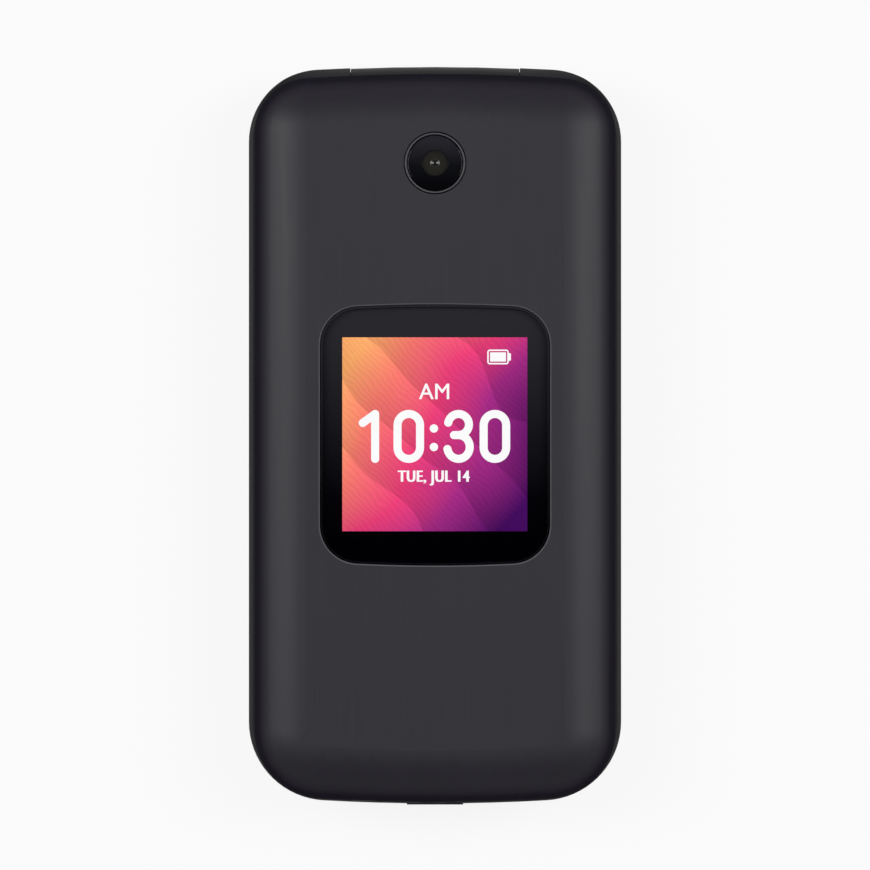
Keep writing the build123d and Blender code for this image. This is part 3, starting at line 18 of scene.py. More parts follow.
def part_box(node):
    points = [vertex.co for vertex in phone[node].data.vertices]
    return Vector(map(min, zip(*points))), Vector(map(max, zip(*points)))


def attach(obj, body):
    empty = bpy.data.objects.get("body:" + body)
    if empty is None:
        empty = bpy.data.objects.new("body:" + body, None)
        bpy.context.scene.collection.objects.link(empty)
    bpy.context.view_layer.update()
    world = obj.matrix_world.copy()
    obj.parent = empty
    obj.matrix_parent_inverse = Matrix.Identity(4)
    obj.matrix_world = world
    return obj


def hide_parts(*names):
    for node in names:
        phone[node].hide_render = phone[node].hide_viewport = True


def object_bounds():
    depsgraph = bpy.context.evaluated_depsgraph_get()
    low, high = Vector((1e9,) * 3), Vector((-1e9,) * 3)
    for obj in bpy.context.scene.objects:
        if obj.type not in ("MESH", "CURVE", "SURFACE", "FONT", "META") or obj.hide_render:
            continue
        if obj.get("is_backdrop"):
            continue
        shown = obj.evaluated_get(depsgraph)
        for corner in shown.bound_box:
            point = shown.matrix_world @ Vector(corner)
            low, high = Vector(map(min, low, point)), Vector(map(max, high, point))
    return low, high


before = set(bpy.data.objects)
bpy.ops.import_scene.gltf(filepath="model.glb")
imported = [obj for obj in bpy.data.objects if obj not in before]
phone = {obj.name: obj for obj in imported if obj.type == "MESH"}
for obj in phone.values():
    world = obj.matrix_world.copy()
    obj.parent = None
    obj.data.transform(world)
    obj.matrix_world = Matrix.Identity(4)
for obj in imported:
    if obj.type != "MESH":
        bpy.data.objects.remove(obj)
cad_box = [list(corner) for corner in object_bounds()]
MM = 0.001
print("pieces in the frame:", len(phone))

# %% [markdown]
# ## Camera
#
# A head-on view of a flat object wants almost no perspective, or the rim would seem to lean
# away from the cover. An orthographic camera would do it, but it looks wrong from the sides.
# A very long lens from a metre away gives the same straight sides and still turns well.

# %% Camera straight above the lid
VIEW_W = 123.75 * MM  # what the square picture takes in, level with the rim
RIM_LEVEL = 13.0 * MM
LENS = 300.0
SENSOR = 36.0

camera_data = bpy.data.cameras.new("camera_above")
camera_data.lens = LENS
camera_data.sensor_width = SENSOR
camera_above = bpy.data.objects.new("camera_above", camera_data)
camera_above.location = (0, 0, RIM_LEVEL + VIEW_W * LENS / SENSOR)
bpy.context.scene.collection.objects.link(camera_above)
bpy.context.scene.camera = camera_above
print("camera height in metres:", round(camera_above.location.z, 3))

# %% [markdown]
# ## Colours and nodes
#
# Colours are easiest to choose as screen values from 0 to 255. Shaders work in linear light,
# so one small function turns the first into the second. A second helper wires a node tree,
# because every finish below is a handful of nodes in a row.


# %% Colour and node helpers
def screen(red, green, blue, alpha=1.0):
    """A colour given in screen values, as the linear colour that a shader takes."""
    shares = (red / 255, green / 255, blue / 255)
    bright = [((s + 0.055) / 1.055) ** 2.4 if s > 0.04045 else s / 12.92 for s in shares]
    return (*bright, alpha)


def blank_finish(name):
    """An empty node material with its output node."""
    finish = bpy.data.materials.new(name)
    finish.use_nodes = True
    tree = finish.node_tree
    tree.nodes.clear()
    return finish, tree, tree.nodes.new("ShaderNodeOutputMaterial")


def place(tree, stretch=(1, 1, 1)):
    """The phone's own coordinates in metres, stretched along each axis."""
    where = tree.nodes.new("ShaderNodeTexCoord")
    mapping = tree.nodes.new("ShaderNodeMapping")
    mapping.inputs["Scale"].default_value = stretch
    tree.links.new(where.outputs["Object"], mapping.inputs["Vector"])
    return mapping.outputs["Vector"]


def mottle(tree, vector, size, detail=3.0):
    """Noise whose blotches are about this size in metres."""
    noise = tree.nodes.new("ShaderNodeTexNoise")
    noise.inputs["Scale"].default_value = 1 / size
    noise.inputs["Detail"].default_value = detail
    tree.links.new(vector, noise.inputs["Vector"])
    return noise.outputs["Fac"]


def ramp(tree, factor, stops):
    """Colours along a factor, from (position, colour) pairs."""
    node = tree.nodes.new("ShaderNodeValToRGB")
    band = node.color_ramp
    while len(band.elements) < len(stops):
        band.elements.new(0.5)
    for element, (position, colour) in zip(band.elements, stops):
        element.position = position
        element.color = colour
    tree.links.new(factor, node.inputs["Fac"])
    return node.outputs["Color"]


def span(tree, value, low, high, new_low, new_high):
    """A value moved from one range to another."""
    node = tree.nodes.new("ShaderNodeMapRange")
    for socket, number in zip(("From Min", "From Max", "To Min", "To Max"), (low, high, new_low, new_high)):
        node.inputs[socket].default_value = number
    tree.links.new(value, node.inputs["Value"])
    return node.outputs["Result"]


def sum_up(tree, operation, a, b):
    """One Math node on two values, each a socket or a number."""
    node = tree.nodes.new("ShaderNodeMath")
    node.operation = operation
    for socket, value in zip(node.inputs, (a, b)):
        if isinstance(value, (int, float)):
            socket.default_value = value
        else:
            tree.links.new(value, socket)
    return node.outputs["Value"]


def mixed(tree, factor, first, second, how="MIX"):
    """Two colours put together, each a socket or a colour. The factor is the second one's share."""
    node = tree.nodes.new("ShaderNodeMix")
    node.data_type = "RGBA"
    node.blend_type = how
    for socket, value in ((node.inputs[0], factor), (node.inputs[6], first), (node.inputs[7], second)):
        if isinstance(value, bpy.types.NodeSocket):
            tree.links.new(value, socket)
        else:
            socket.default_value = value
    return node.outputs[2]


def flatness(tree):
    """How level the surface lies on the phone: 1 when flat, 0 when upright. It's measured on the
    phone's own axes, so it stays the same when the lid swings open."""
    where = tree.nodes.new("ShaderNodeTexCoord")
    split = tree.nodes.new("ShaderNodeSeparateXYZ")
    tree.links.new(where.outputs["Normal"], split.inputs["Vector"])
    return sum_up(tree, "ABSOLUTE", split.outputs["Z"], 0.0)


def outside_box(tree, low, high):
    """How far a point lies outside a box in X and Y, in metres. Inside it, this is negative."""
    split = tree.nodes.new("ShaderNodeSeparateXYZ")
    tree.links.new(place(tree), split.inputs["Vector"])
    away = []
    for axis, a, b in (("X", low.x, high.x), ("Y", low.y, high.y)):
        offset = sum_up(tree, "SUBTRACT", split.outputs[axis], (a + b) / 2)
        away.append(sum_up(tree, "SUBTRACT", sum_up(tree, "ABSOLUTE", offset, 0.0), (b - a) / 2))
    return sum_up(tree, "MAXIMUM", *away)


def shaded(tree, shade):
    """A colour that changes along the phone, from (Y in mm, colour) pairs."""
    split = tree.nodes.new("ShaderNodeSeparateXYZ")
    tree.links.new(place(tree), split.inputs["Vector"])
    first, last = shade[0][0], shade[-1][0]
    stops = [((y - first) / (last - first), colour) for y, colour in shade]
    return ramp(tree, span(tree, split.outputs["Y"], first * MM, last * MM, 0, 1), stops)


print("dark grey 60 is", round(screen(60, 60, 60)[0], 4), "in linear light")

# %% [markdown]
# ## One recipe for moulded, painted and metal pieces
#
# A single flat colour looks like a computer drawing. Real plastic varies a little in colour and
# in gloss, and its surface has a grain that breaks up highlights. The recipe below drives all
# three from noise: broad mottle for colour and roughness, and fine grain for the bump. The same
# nodes make brushed metal when the noise is stretched along one axis.


# %% The grained recipe
def grained(name, colour, rough, grain=0.15, bump=0.1, spread=0.06, stretch=(1, 1, 1), metal=0.0,
            coat=0.0, gloss=0.5):
    """A finish with mottled colour, uneven gloss and a bumpy grain. The grain's size is in mm."""
    finish, tree, output = blank_finish(name)
    shader = tree.nodes.new("ShaderNodeBsdfPrincipled")
    tree.links.new(shader.outputs["BSDF"], output.inputs["Surface"])
    shader.inputs["Metallic"].default_value = metal
    shader.inputs["Coat Weight"].default_value = coat
    shader.inputs["Coat Roughness"].default_value = 0.08
    shader.inputs["Specular IOR Level"].default_value = gloss
    broad = mottle(tree, place(tree), 9 * MM)
    dark = tuple(c * (1 - spread) for c in colour[:3]) + (1,)
    light = tuple(c * (1 + spread) for c in colour[:3]) + (1,)
    tree.links.new(ramp(tree, broad, [(0.35, dark), (0.65, light)]), shader.inputs["Base Color"])
    fine = mottle(tree, place(tree, stretch), grain * MM)
    both = sum_up(tree, "ADD", sum_up(tree, "MULTIPLY", broad, 0.5), sum_up(tree, "MULTIPLY", fine, 0.5))
    tree.links.new(span(tree, both, 0.3, 0.7, rough - 0.05, rough + 0.05), shader.inputs["Roughness"])
    relief = tree.nodes.new("ShaderNodeBump")
    relief.inputs["Strength"].default_value = bump
    relief.inputs["Distance"].default_value = grain * MM / 2
    tree.links.new(fine, relief.inputs["Height"])
    tree.links.new(relief.outputs["Normal"], shader.inputs["Normal"])
    return finish


def dress(finish, *names):
    """Gives frame pieces their finish, in place of the plain one that they came with."""
    for name in names:
        piece = phone[name]
        piece.data.materials.clear()
        piece.data.materials.append(finish)
    print(finish.name, "on", len(names), "pieces" if len(names) > 1 else "piece")


# %% [markdown]
# ## The soft-touch cover
#
# The lid's outer cover is sprayed with a matte rubbery paint, charcoal with a faint violet cast.
# Paint like this has almost no mirror in it, but a wide soft highlight runs down each rolled
# edge. Under it the moulding was brushed along the phone's length, and that still shows as very
# faint upright streaks, so the noise for the colour is squeezed across and drawn out along Y.
# Spray also dries flatter where it meets the surface at a slant, so the rolled edges are duller than the flat
# middle: there the mirror is weaker and the roughness higher. The colour is painted darker on the steepest
# part of the rolled edges, a painted shade, and the narrow chamfer round the window's opening is painted
# paler, a painted highlight that draws a fine line.

# %% Cover paint
cover_paint, tree, output = blank_finish("cover_paint")
shader = tree.nodes.new("ShaderNodeBsdfPrincipled")
tree.links.new(shader.outputs["BSDF"], output.inputs["Surface"])
streaks = mottle(tree, place(tree, (1, 0.02, 1)), 0.30 * MM, 4.0)
clouds = mottle(tree, place(tree), 14 * MM)
tone = sum_up(tree, "ADD", sum_up(tree, "MULTIPLY", streaks, 0.7), sum_up(tree, "MULTIPLY", clouds, 0.3))
charcoal = [(0.32, screen(25, 22, 31)), (0.68, screen(31, 28, 38))]
level = flatness(tree)
rolled = span(tree, level, 0.77, 0.88, 1, 0)
beyond = outside_box(tree, *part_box("outer_display_window"))
near_window = span(tree, beyond, 0.5 * MM, 0.6 * MM, 1, 0)
slanted = sum_up(tree, "MULTIPLY", span(tree, level, 0.4, 0.6, 0, 1), rolled)
# painted highlight: the slanted chamfer round the window's opening is coloured pale grey
painted_bevel_highlight = sum_up(tree, "MULTIPLY", near_window, slanted)
# painted shade: the base colour darkens towards near black where the rolled edge turns steep
painted_edge_shade = span(tree, level, 0.68, 0.84, 0.4, 0)
painted = mixed(tree, painted_edge_shade, ramp(tree, tone, charcoal), screen(14, 12, 17))
painted = mixed(tree, painted_bevel_highlight, painted, screen(104, 103, 109))
tree.links.new(painted, shader.inputs["Base Color"])
tree.links.new(span(tree, rolled, 0, 1, 0.45, 0.05), shader.inputs["Specular IOR Level"])
uneven = span(tree, tone, 0.3, 0.7, 0.46, 0.52)
dry = sum_up(tree, "MULTIPLY", rolled, 0.2)
tree.links.new(sum_up(tree, "ADD", uneven, dry), shader.inputs["Roughness"])
grit = mottle(tree, place(tree), 0.08 * MM, 2.0)
relief = tree.nodes.new("ShaderNodeBump")
relief.inputs["Strength"].default_value = 0.10
relief.inputs["Distance"].default_value = 0.03 * MM
tree.links.new(grit, relief.inputs["Height"])
tree.links.new(relief.outputs["Normal"], shader.inputs["Normal"])
dress(cover_paint, "lid_outer_cover")

# %% [markdown]
# ## Plastics
#
# The rim, the hinge knuckles, the rear housing and the battery cover are moulded in near-black
# plastic. The rim and rocker have the tightest grain and the battery cover the coarsest, so that
# it doesn't slip in the hand. The face round the keys is smoother. The round of the hinge rubs
# against its neighbours, so both its halves are moulded with less gloss than the rest.


# %% Moulded covers
def matt_hinge(finish, gloss, hinge_gloss):
    """Takes gloss off a moulded finish at the hinge end of the phone."""
    tree = finish.node_tree
    split = tree.nodes.new("ShaderNodeSeparateXYZ")
    tree.links.new(place(tree), split.inputs["Vector"])
    less = span(tree, split.outputs["Y"], 45 * MM, 47 * MM, gloss, hinge_gloss)
    tree.links.new(less, tree.nodes["Principled BSDF"].inputs["Specular IOR Level"])


rim_black = grained("rim_black", screen(36, 36, 39), 0.55, grain=0.12, bump=0.12, gloss=0.3)
matt_hinge(rim_black, 0.3, 0.12)
dress(rim_black, "lid_inner_cover", "volume_rocker")

housing_black = grained("housing_black", screen(26, 26, 29), 0.6, grain=0.2, bump=0.25, gloss=0.3)
dress(housing_black, "base_rear_housing")

back_grain = grained("back_grain", screen(30, 30, 33), 0.6, grain=0.45, bump=0.5, gloss=0.35)
dress(back_grain, "battery_cover")

face_black = grained("face_black", screen(20, 20, 23), 0.5, grain=0.15, bump=0.05, gloss=0.3)
matt_hinge(face_black, 0.3, 0.12)
dress(face_black, "keypad_cover")

inner_black = grained("inner_black", screen(24, 24, 26), 0.55, grain=0.25, bump=0.2)
dress(inner_black, "camera_module", "earpiece_speaker", "loudspeaker", "headset_jack")

soft_rubber = grained("soft_rubber", screen(30, 30, 31), 0.8, grain=0.3, bump=0.3)
dress(soft_rubber, "lid_bumpers")

milky_rubber = grained("milky_rubber", screen(176, 178, 176), 0.6, grain=0.4, bump=0.1)
dress(milky_rubber, "key_mat")

# %% [markdown]
# ## Keys
#
# Number keys are dark and slightly glossy, with a legend printed in white under a hard clear
# coat. The navigation ring is painted in a metallic dark silver, which needs some metal in the
# shader and a finer, stronger grain: the flakes. The OK key in its middle is as dark as the rest.

# %% Key finishes
NUMBER_KEYS = [f"key_{n}" for n in (*range(10), "star", "hash")]
SIDE_KEYS = ["soft_key_left", "soft_key_right", "message_key", "camera_key", "call_key", "clear_key",
             "end_key"]

key_black = grained("key_black", screen(46, 46, 50), 0.32, grain=0.2, bump=0.05, coat=0.35)
dress(key_black, *NUMBER_KEYS, *SIDE_KEYS)

ring_silver = grained("ring_silver", screen(120, 121, 126), 0.34, grain=0.05, bump=0.25, metal=0.75, coat=0.3)
dress(ring_silver, "nav_ring")

ok_black = grained("ok_black", screen(38, 38, 42), 0.22, grain=0.2, bump=0.04, coat=0.6)
dress(ok_black, "ok_key")

# %% [markdown]
# ## Metals, boards and cables
#
# These sit inside, and show only with the battery cover slid off or through a slot. Brushed
# steel is metal whose grain is drawn out along one axis. Nickel and gold plating are smoother.
# The board is dark green solder mask, and the flexible cables are amber film.

# %% Metals
brushed_steel = grained("brushed_steel", screen(176, 177, 180), 0.32, grain=0.1, bump=0.15,
                        stretch=(1, 0.05, 1), metal=1.0)
dress(brushed_steel, "lid_chassis", "shield_can", "sim_card_holder", "nav_carrier", "dome_sheet")

turned_steel = grained("turned_steel", screen(165, 166, 168), 0.28, grain=0.08, bump=0.1, metal=1.0)
dress(turned_steel, "hinge_cartridge", "hinge_bushing", "hinge_cam_shaft", "vibration_motor", "microphone",
      "lid_magnet", "side_switches")

screw_black = grained("screw_black", screen(70, 70, 72), 0.35, grain=0.08, bump=0.1, metal=1.0)
dress(screw_black, "lid_screws", "base_screws")

nickel = grained("nickel", screen(200, 198, 192), 0.2, grain=0.1, bump=0.05, metal=1.0)
dress(nickel, "usb_socket")

gold_plate = grained("gold_plate", screen(212, 172, 96), 0.22, grain=0.1, bump=0.05, metal=1.0)
dress(gold_plate, "battery_contacts")

# %% Boards, cables and the battery
solder_mask = grained("solder_mask", screen(24, 70, 48), 0.35, grain=0.6, bump=0.15, spread=0.15)
dress(solder_mask, "main_board")

amber_film = grained("amber_film", screen(168, 108, 40), 0.35, grain=0.5, bump=0.05, spread=0.1)
dress(amber_film, "hinge_flex", "lid_board")

display_back = grained("display_back", screen(190, 192, 194), 0.3, grain=0.3, bump=0.05, metal=0.9)
dress(display_back, "outer_display_panel", "main_display_panel")

battery_wrap = grained("battery_wrap", screen(58, 60, 64), 0.4, grain=1.5, bump=0.08, spread=0.08)
dress(battery_wrap, "battery")

# %% [markdown]
# ## The earpiece mesh
#
# A woven steel mesh covers the earpiece slot. Its holes are a fifth of a millimetre across, far too small to
# model, so a grid of dark dots in the colour stands for them: painted shade where the holes would show the
# dark behind. Two sine waves multiplied together make such a grid.

# %% Woven mesh
woven_mesh, tree, output = blank_finish("woven_mesh")
shader = tree.nodes.new("ShaderNodeBsdfPrincipled")
tree.links.new(shader.outputs["BSDF"], output.inputs["Surface"])
shader.inputs["Metallic"].default_value = 1.0
split = tree.nodes.new("ShaderNodeSeparateXYZ")
tree.links.new(place(tree), split.inputs["Vector"])
turns = 2 * math.pi / (0.36 * MM)
across = sum_up(tree, "SINE", sum_up(tree, "MULTIPLY", split.outputs["X"], turns), 0.0)
along = sum_up(tree, "SINE", sum_up(tree, "MULTIPLY", split.outputs["Y"], turns), 0.0)
weave = sum_up(tree, "MULTIPLY", across, along)
# painted shade: the dark dots of the grid stand for the holes, the steel colour for the wires
wire_and_painted_hole_shade = [(0.45, screen(126, 127, 130)), (0.75, screen(12, 12, 13))]
tree.links.new(ramp(tree, span(tree, weave, -1, 1, 0, 1), wire_and_painted_hole_shade), shader.inputs["Base Color"])
tree.links.new(span(tree, weave, -1, 1, 0.3, 0.55), shader.inputs["Roughness"])
dress(woven_mesh, "earpiece_mesh")

# %% [markdown]
# ## Building flat shapes
#
# Print, legends and everything on the displays are thin flat shapes, a hundredth of a millimetre
# above the surface that carries them. A mesh for one needs only its outline, so the helpers below
# draw a band along a line with round ends, a filled outline and a ring. Each shape is drawn in
# millimetres in a flat plane, and then moved onto its piece.


# %% Flat shape helpers
def arc(x, y, radius, start, end, steps=20):
    """Points on a circle between two angles in degrees."""
    angles = [math.radians(start + (end - start) * i / steps) for i in range(steps + 1)]
    return [(x + radius * math.cos(a), y + radius * math.sin(a)) for a in angles]


def box_line(width, height, corner, x=0.0, y=0.0, steps=8):
    """A closed line round a rectangle with round corners."""
    w, h = width / 2 - corner, height / 2 - corner
    corners = ((w, h, 0), (-w, h, 90), (-w, -h, 180), (w, -h, 270))
    return [p for cx, cy, a in corners for p in arc(x + cx, y + cy, corner, a, a + 90, steps)]


def next_layer(mesh):
    """Height of the next shape of a drawing. Shapes may overlap, so each lies over the last."""
    return max((v.co.z for v in mesh.verts), default=0.0) + 0.002


def add_band(mesh, line, width, closed=False):
    """A flat band along a line of points, with round ends unless it is closed."""
    z = next_layer(mesh)
    points = [Vector(p) for p in line]
    count = len(points)
    edges = []
    for i, point in enumerate(points):
        before = points[i - 1] if closed or i > 0 else point
        after = points[(i + 1) % count] if closed or i < count - 1 else point
        along = (after - before).normalized()
        side = Vector((-along.y, along.x)) * width / 2
        edges.append((mesh.verts.new((*(point + side), z)), mesh.verts.new((*(point - side), z))))
    for i in range(count if closed else count - 1):
        (a, b), (c, d) = edges[i], edges[(i + 1) % count]
        mesh.faces.new((a, b, d, c))
    if closed:
        return
    for point, pair, turn in ((points[0], edges[0], 1), (points[-1], edges[-1], -1)):
        out = pair[0].co.xy - point
        start = math.degrees(math.atan2(out.y, out.x))
        rim = arc(*point, width / 2, start, start + 180 * turn, 12)[1:-1]
        cap = [pair[0], *[mesh.verts.new((*p, z)) for p in rim], pair[1]]
        mesh.faces.new(cap)


def add_fill(mesh, line):
    """A filled outline."""
    z = next_layer(mesh)
    mesh.faces.new([mesh.verts.new((*p, z)) for p in line])


def new_piece(name, mesh, finish, body):
    """Turns a drawn mesh into a piece of the phone that rides on a body."""
    data = bpy.data.meshes.new(name)
    mesh.to_mesh(data)
    mesh.free()
    data.materials.append(finish)
    piece = bpy.data.objects.new(name, data)
    bpy.context.scene.collection.objects.link(piece)
    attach(piece, body)
    return piece


def flat_piece(name, mesh, finish, body, centre, level, facing=1):
    """Turns a drawing in millimetres into a piece of the phone, facing up (1) or down (-1)."""
    bmesh.ops.recalc_face_normals(mesh, faces=mesh.faces)
    for face in mesh.faces:
        if face.normal.z < 0:
            face.normal_flip()
    turn = Matrix.Diagonal((1, facing, facing)).to_4x4()
    move = Matrix.Translation((centre[0] * MM, centre[1] * MM, level))
    bmesh.ops.transform(mesh, matrix=move @ turn @ Matrix.Scale(MM, 4), verts=mesh.verts)
    return new_piece(name, mesh, finish, body)


PRINT = 0.012 * MM  # thickness of a print, over its surface

# %% [markdown]
# ## Lettering
#
# Small words use Blender's own font: a text object is made at any size, turned into a mesh, and
# scaled until its capitals have the wanted height. The clock's big figures are drawn as bands
# instead, because they are narrow, evenly thick and round at their ends.


# %% Words as flat meshes
def add_words(mesh, words, height, x=0.0, y=0.0, weight=0.0, narrow=1.0):
    """Adds words centred on a point. The height is that of a capital or a figure. The weight
    in mm thickens the letters: the words are laid down twice, that far apart."""
    curve = bpy.data.curves.new("words", "FONT")
    curve.body = words
    curve.space_character = 1 + weight / height
    holder = bpy.data.objects.new("words", curve)
    bpy.context.scene.collection.objects.link(holder)
    bpy.context.view_layer.update()
    outline = bpy.data.meshes.new_from_object(holder.evaluated_get(bpy.context.evaluated_depsgraph_get()))
    bpy.data.objects.remove(holder)
    bpy.data.curves.remove(curve)
    spots = [v.co.xy for v in outline.vertices]
    low = Vector((min(p.x for p in spots), min(p.y for p in spots)))
    high = Vector((max(p.x for p in spots), max(p.y for p in spots)))
    # descenders don't count: capitals and figures are 0.7 of the font size high
    scale = height / 0.7
    middle = Vector(((low.x + high.x) / 2, 0.35))
    for shift in (-weight / 2, weight / 2)[: 2 if weight else 1]:
        left = x + shift - middle.x * scale * narrow
        foot = y - middle.y * scale
        z = next_layer(mesh)
        made = [mesh.verts.new((left + p.x * scale * narrow, foot + p.y * scale, z)) for p in spots]
        for face in outline.polygons:
            mesh.faces.new([made[i] for i in face.vertices])
    bpy.data.meshes.remove(outline)
    return (high.x - low.x) * scale * narrow


# %% Figures of the clock as bands
def add_figure(mesh, figure, left, foot, height, stroke):
    """Draws one clock figure in round-ended bands, and returns its width."""
    h = height - stroke
    w = 0.425 * height
    x, y = left + stroke / 2, foot + stroke / 2
    if figure == "0":
        r = w / 2
        loop = arc(x + r, y + h - r, r, 0, 180) + arc(x + r, y + r, r, 180, 360)
        add_band(mesh, loop, stroke, closed=True)
    elif figure == "1":
        w = 0.235 * height
        add_band(mesh, [(x + w, y), (x + w, y + h)], stroke)
        add_band(mesh, [(x, y + 0.80 * h), (x + w, y + h)], stroke)
    elif figure == "3":
        top, low = 0.235 * h, 0.265 * h
        r = w / 2
        upper = [(x + r * (1 + 0.93 * px), y + h - top + top * py) for px, py in arc(0, 0, 1, 170, -90)]
        lower = [(x + r * (1 + px), y + low + low * py) for px, py in arc(0, 0, 1, 90, -170)]
        add_band(mesh, upper, stroke)
        add_band(mesh, lower, stroke)
        middle = y + h - 2 * top
        add_band(mesh, [(x + 0.6 * r, middle), (x + r, middle)], stroke)
    elif figure == ":":
        w = 0
        for dot in (0.30, 0.65):
            add_fill(mesh, arc(left + stroke / 2, foot + dot * height, stroke * 0.52, 0, 360)[:-1])
    return w + stroke


def add_clock(mesh, height, stroke, x, y):
    """The time, centred on a point."""
    gaps = {"1": 0.27 * height, ":": 0.10 * height, "3": 0.11 * height}
    figures = [(figure, gaps.get(figure, 0.11 * height)) for figure in "10:3"] + [("0", 0)]
    trial = bmesh.new()
    widths = [add_figure(trial, f, 0, 0, height, stroke) for f, _ in figures]
    trial.free()
    total = sum(widths) + sum(g for _, g in figures)
    left = x - total / 2
    for (figure, after), width in zip(figures, widths):
        add_figure(mesh, figure, left, y - height / 2, height, stroke)
        left += width + after
    return total


# %% [markdown]
# ## Lit displays
#
# A display gives out its own light, so its picture is an Emission shader at strength 1: the
# colours then appear exactly as chosen. The wallpaper runs from coral over magenta to violet,
# crossed by wide soft folds like silk. It is drawn by nodes alone: a slanted gradient picks the
# colour, and a wave bent by noise lightens and darkens it.


# %% Wallpaper
def silk_wallpaper(name, centre, size, up=1):
    """A glowing picture on a rectangle of the phone. Up is 1 if its top lies towards the hinge."""
    finish, tree, output = blank_finish(name)
    glow = tree.nodes.new("ShaderNodeEmission")
    tree.links.new(glow.outputs["Emission"], output.inputs["Surface"])
    split = tree.nodes.new("ShaderNodeSeparateXYZ")
    tree.links.new(place(tree), split.inputs["Vector"])
    half_w, half_h = size[0] / 2 * MM, size[1] / 2 * MM
    cx, cy = centre[0] * MM, centre[1] * MM
    u = span(tree, split.outputs["X"], cx - half_w, cx + half_w, 0, 1)
    v = span(tree, split.outputs["Y"], cy - up * half_h, cy + up * half_h, 0, 1)
    flat = tree.nodes.new("ShaderNodeCombineXYZ")
    tree.links.new(u, flat.inputs["X"])
    tree.links.new(v, flat.inputs["Y"])
    drift = mottle(tree, flat.outputs["Vector"], 0.9, 1.0)
    slant = sum_up(tree, "ADD", sum_up(tree, "MULTIPLY", u, 0.62), sum_up(tree, "MULTIPLY", v, -0.42))
    slope = sum_up(tree, "ADD", slant, sum_up(tree, "MULTIPLY", drift, 0.5))
    palette = [
        (0.05, screen(246, 168, 104)),
        (0.24, screen(242, 118, 108)),
        (0.44, screen(230, 62, 118)),
        (0.66, screen(158, 42, 128)),
        (0.95, screen(66, 12, 92)),
    ]
    colour = ramp(tree, span(tree, slope, -0.12, 0.82, 0, 1), palette)
    folds = tree.nodes.new("ShaderNodeTexWave")
    folds.wave_type = "BANDS"
    folds.bands_direction = "DIAGONAL"
    folds.wave_profile = "SAW"
    folds.inputs["Scale"].default_value = 1.6
    folds.inputs["Distortion"].default_value = 5.0
    folds.inputs["Detail"].default_value = 1.0
    folds.inputs["Detail Scale"].default_value = 0.8
    tree.links.new(flat.outputs["Vector"], folds.inputs["Vector"])
    threads = tree.nodes.new("ShaderNodeTexWave")
    threads.bands_direction = "DIAGONAL"
    threads.inputs["Scale"].default_value = 17.0
    threads.inputs["Distortion"].default_value = 11.0
    threads.inputs["Detail Scale"].default_value = 0.35
    tree.links.new(flat.outputs["Vector"], threads.inputs["Vector"])
    sheen = sum_up(
        tree, "ADD",
        span(tree, folds.outputs["Fac"], 0, 1, -0.13, 0.13),
        span(tree, threads.outputs["Fac"], 0, 1, -0.05, 0.05),
    )
    grey = tree.nodes.new("ShaderNodeCombineColor")
    level = sum_up(tree, "ADD", sheen, 1.0)
    for channel in ("Red", "Green", "Blue"):
        tree.links.new(level, grey.inputs[channel])
    lit = mixed(tree, 1.0, colour, grey.outputs["Color"], "MULTIPLY")
    tree.links.new(lit, glow.inputs["Color"])
    return finish


def glowing(name, colour):
    """Lit white or coloured marks of a display, very slightly uneven, as a backlight is."""
    finish, tree, output = blank_finish(name)
    glow = tree.nodes.new("ShaderNodeEmission")
    tree.links.new(glow.outputs["Emission"], output.inputs["Surface"])
    dim = tuple(c * 0.96 for c in colour[:3]) + (1,)
    uneven = mottle(tree, place(tree), 6 * MM)
    tree.links.new(ramp(tree, uneven, [(0.3, dim), (0.7, colour)]), glow.inputs["Color"])
    return finish


lit_white = glowing("lit_white", screen(255, 255, 255))

# %% [markdown]
# ## The outer display
#
# The small window shows a picture of 26 by 27 millimetres: the wallpaper with the time, a short
# date and a battery mark. Panel and window are bonded on such a phone, so the picture lies right
# behind the window and doesn't slide under its edge when seen from the side. Every mark is its
# own thin layer, a little above the picture.

# %% Outer picture
OUTER_W, OUTER_H = 26.2, 27.45
outer_centre = (-0.03, 0.1)
glass_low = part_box("outer_display_window")[0]
picture_level = glass_low.z - 3 * PRINT

drawing = bmesh.new()
add_fill(drawing, box_line(OUTER_W, OUTER_H, 0.02, steps=1))
outer_wallpaper = silk_wallpaper("outer_wallpaper", outer_centre, (OUTER_W, OUTER_H))
flat_piece("outer_picture", drawing, outer_wallpaper, "lid", outer_centre, picture_level)

# %% Time, half of the day and date
drawing = bmesh.new()
clock_width = add_clock(drawing, 7.5, 1.14, -0.05, -0.3)
flat_piece("outer_time", drawing, lit_white, "lid", outer_centre, picture_level + PRINT)

drawing = bmesh.new()
add_words(drawing, "AM", 2.25, -0.1, 6.1, weight=0.05, narrow=0.95)
date_width = add_words(drawing, "TUE, JUL 14", 1.62, -0.15, -5.9, weight=0.18, narrow=0.78)
flat_piece("outer_words", drawing, lit_white, "lid", outer_centre, picture_level + PRINT)
print("time", round(clock_width, 2), "mm wide, date", round(date_width, 2), "mm wide")


# %% Battery mark
def add_battery_mark(mesh, x, y, width, height, charge=0.86):
    """An outlined battery with its charge inside."""
    line = height * 0.1
    add_band(mesh, box_line(width - line, height - line, height * 0.12, x, y, 3), line, closed=True)
    add_fill(mesh, box_line(width * 0.1, height * 0.5, height * 0.03, x + width * 0.55, y, 2))
    inner = width - 3.8 * line
    add_fill(mesh, box_line(inner * charge, height - 3.8 * line, 0.03, x - inner * (1 - charge) / 2, y, 1))


drawing = bmesh.new()
add_battery_mark(drawing, 8.95, 10.95, 3.05, 2.1, charge=1.0)
marks_level = picture_level + PRINT
flat_piece("outer_battery_mark", drawing, lit_white, "lid", outer_centre, marks_level)
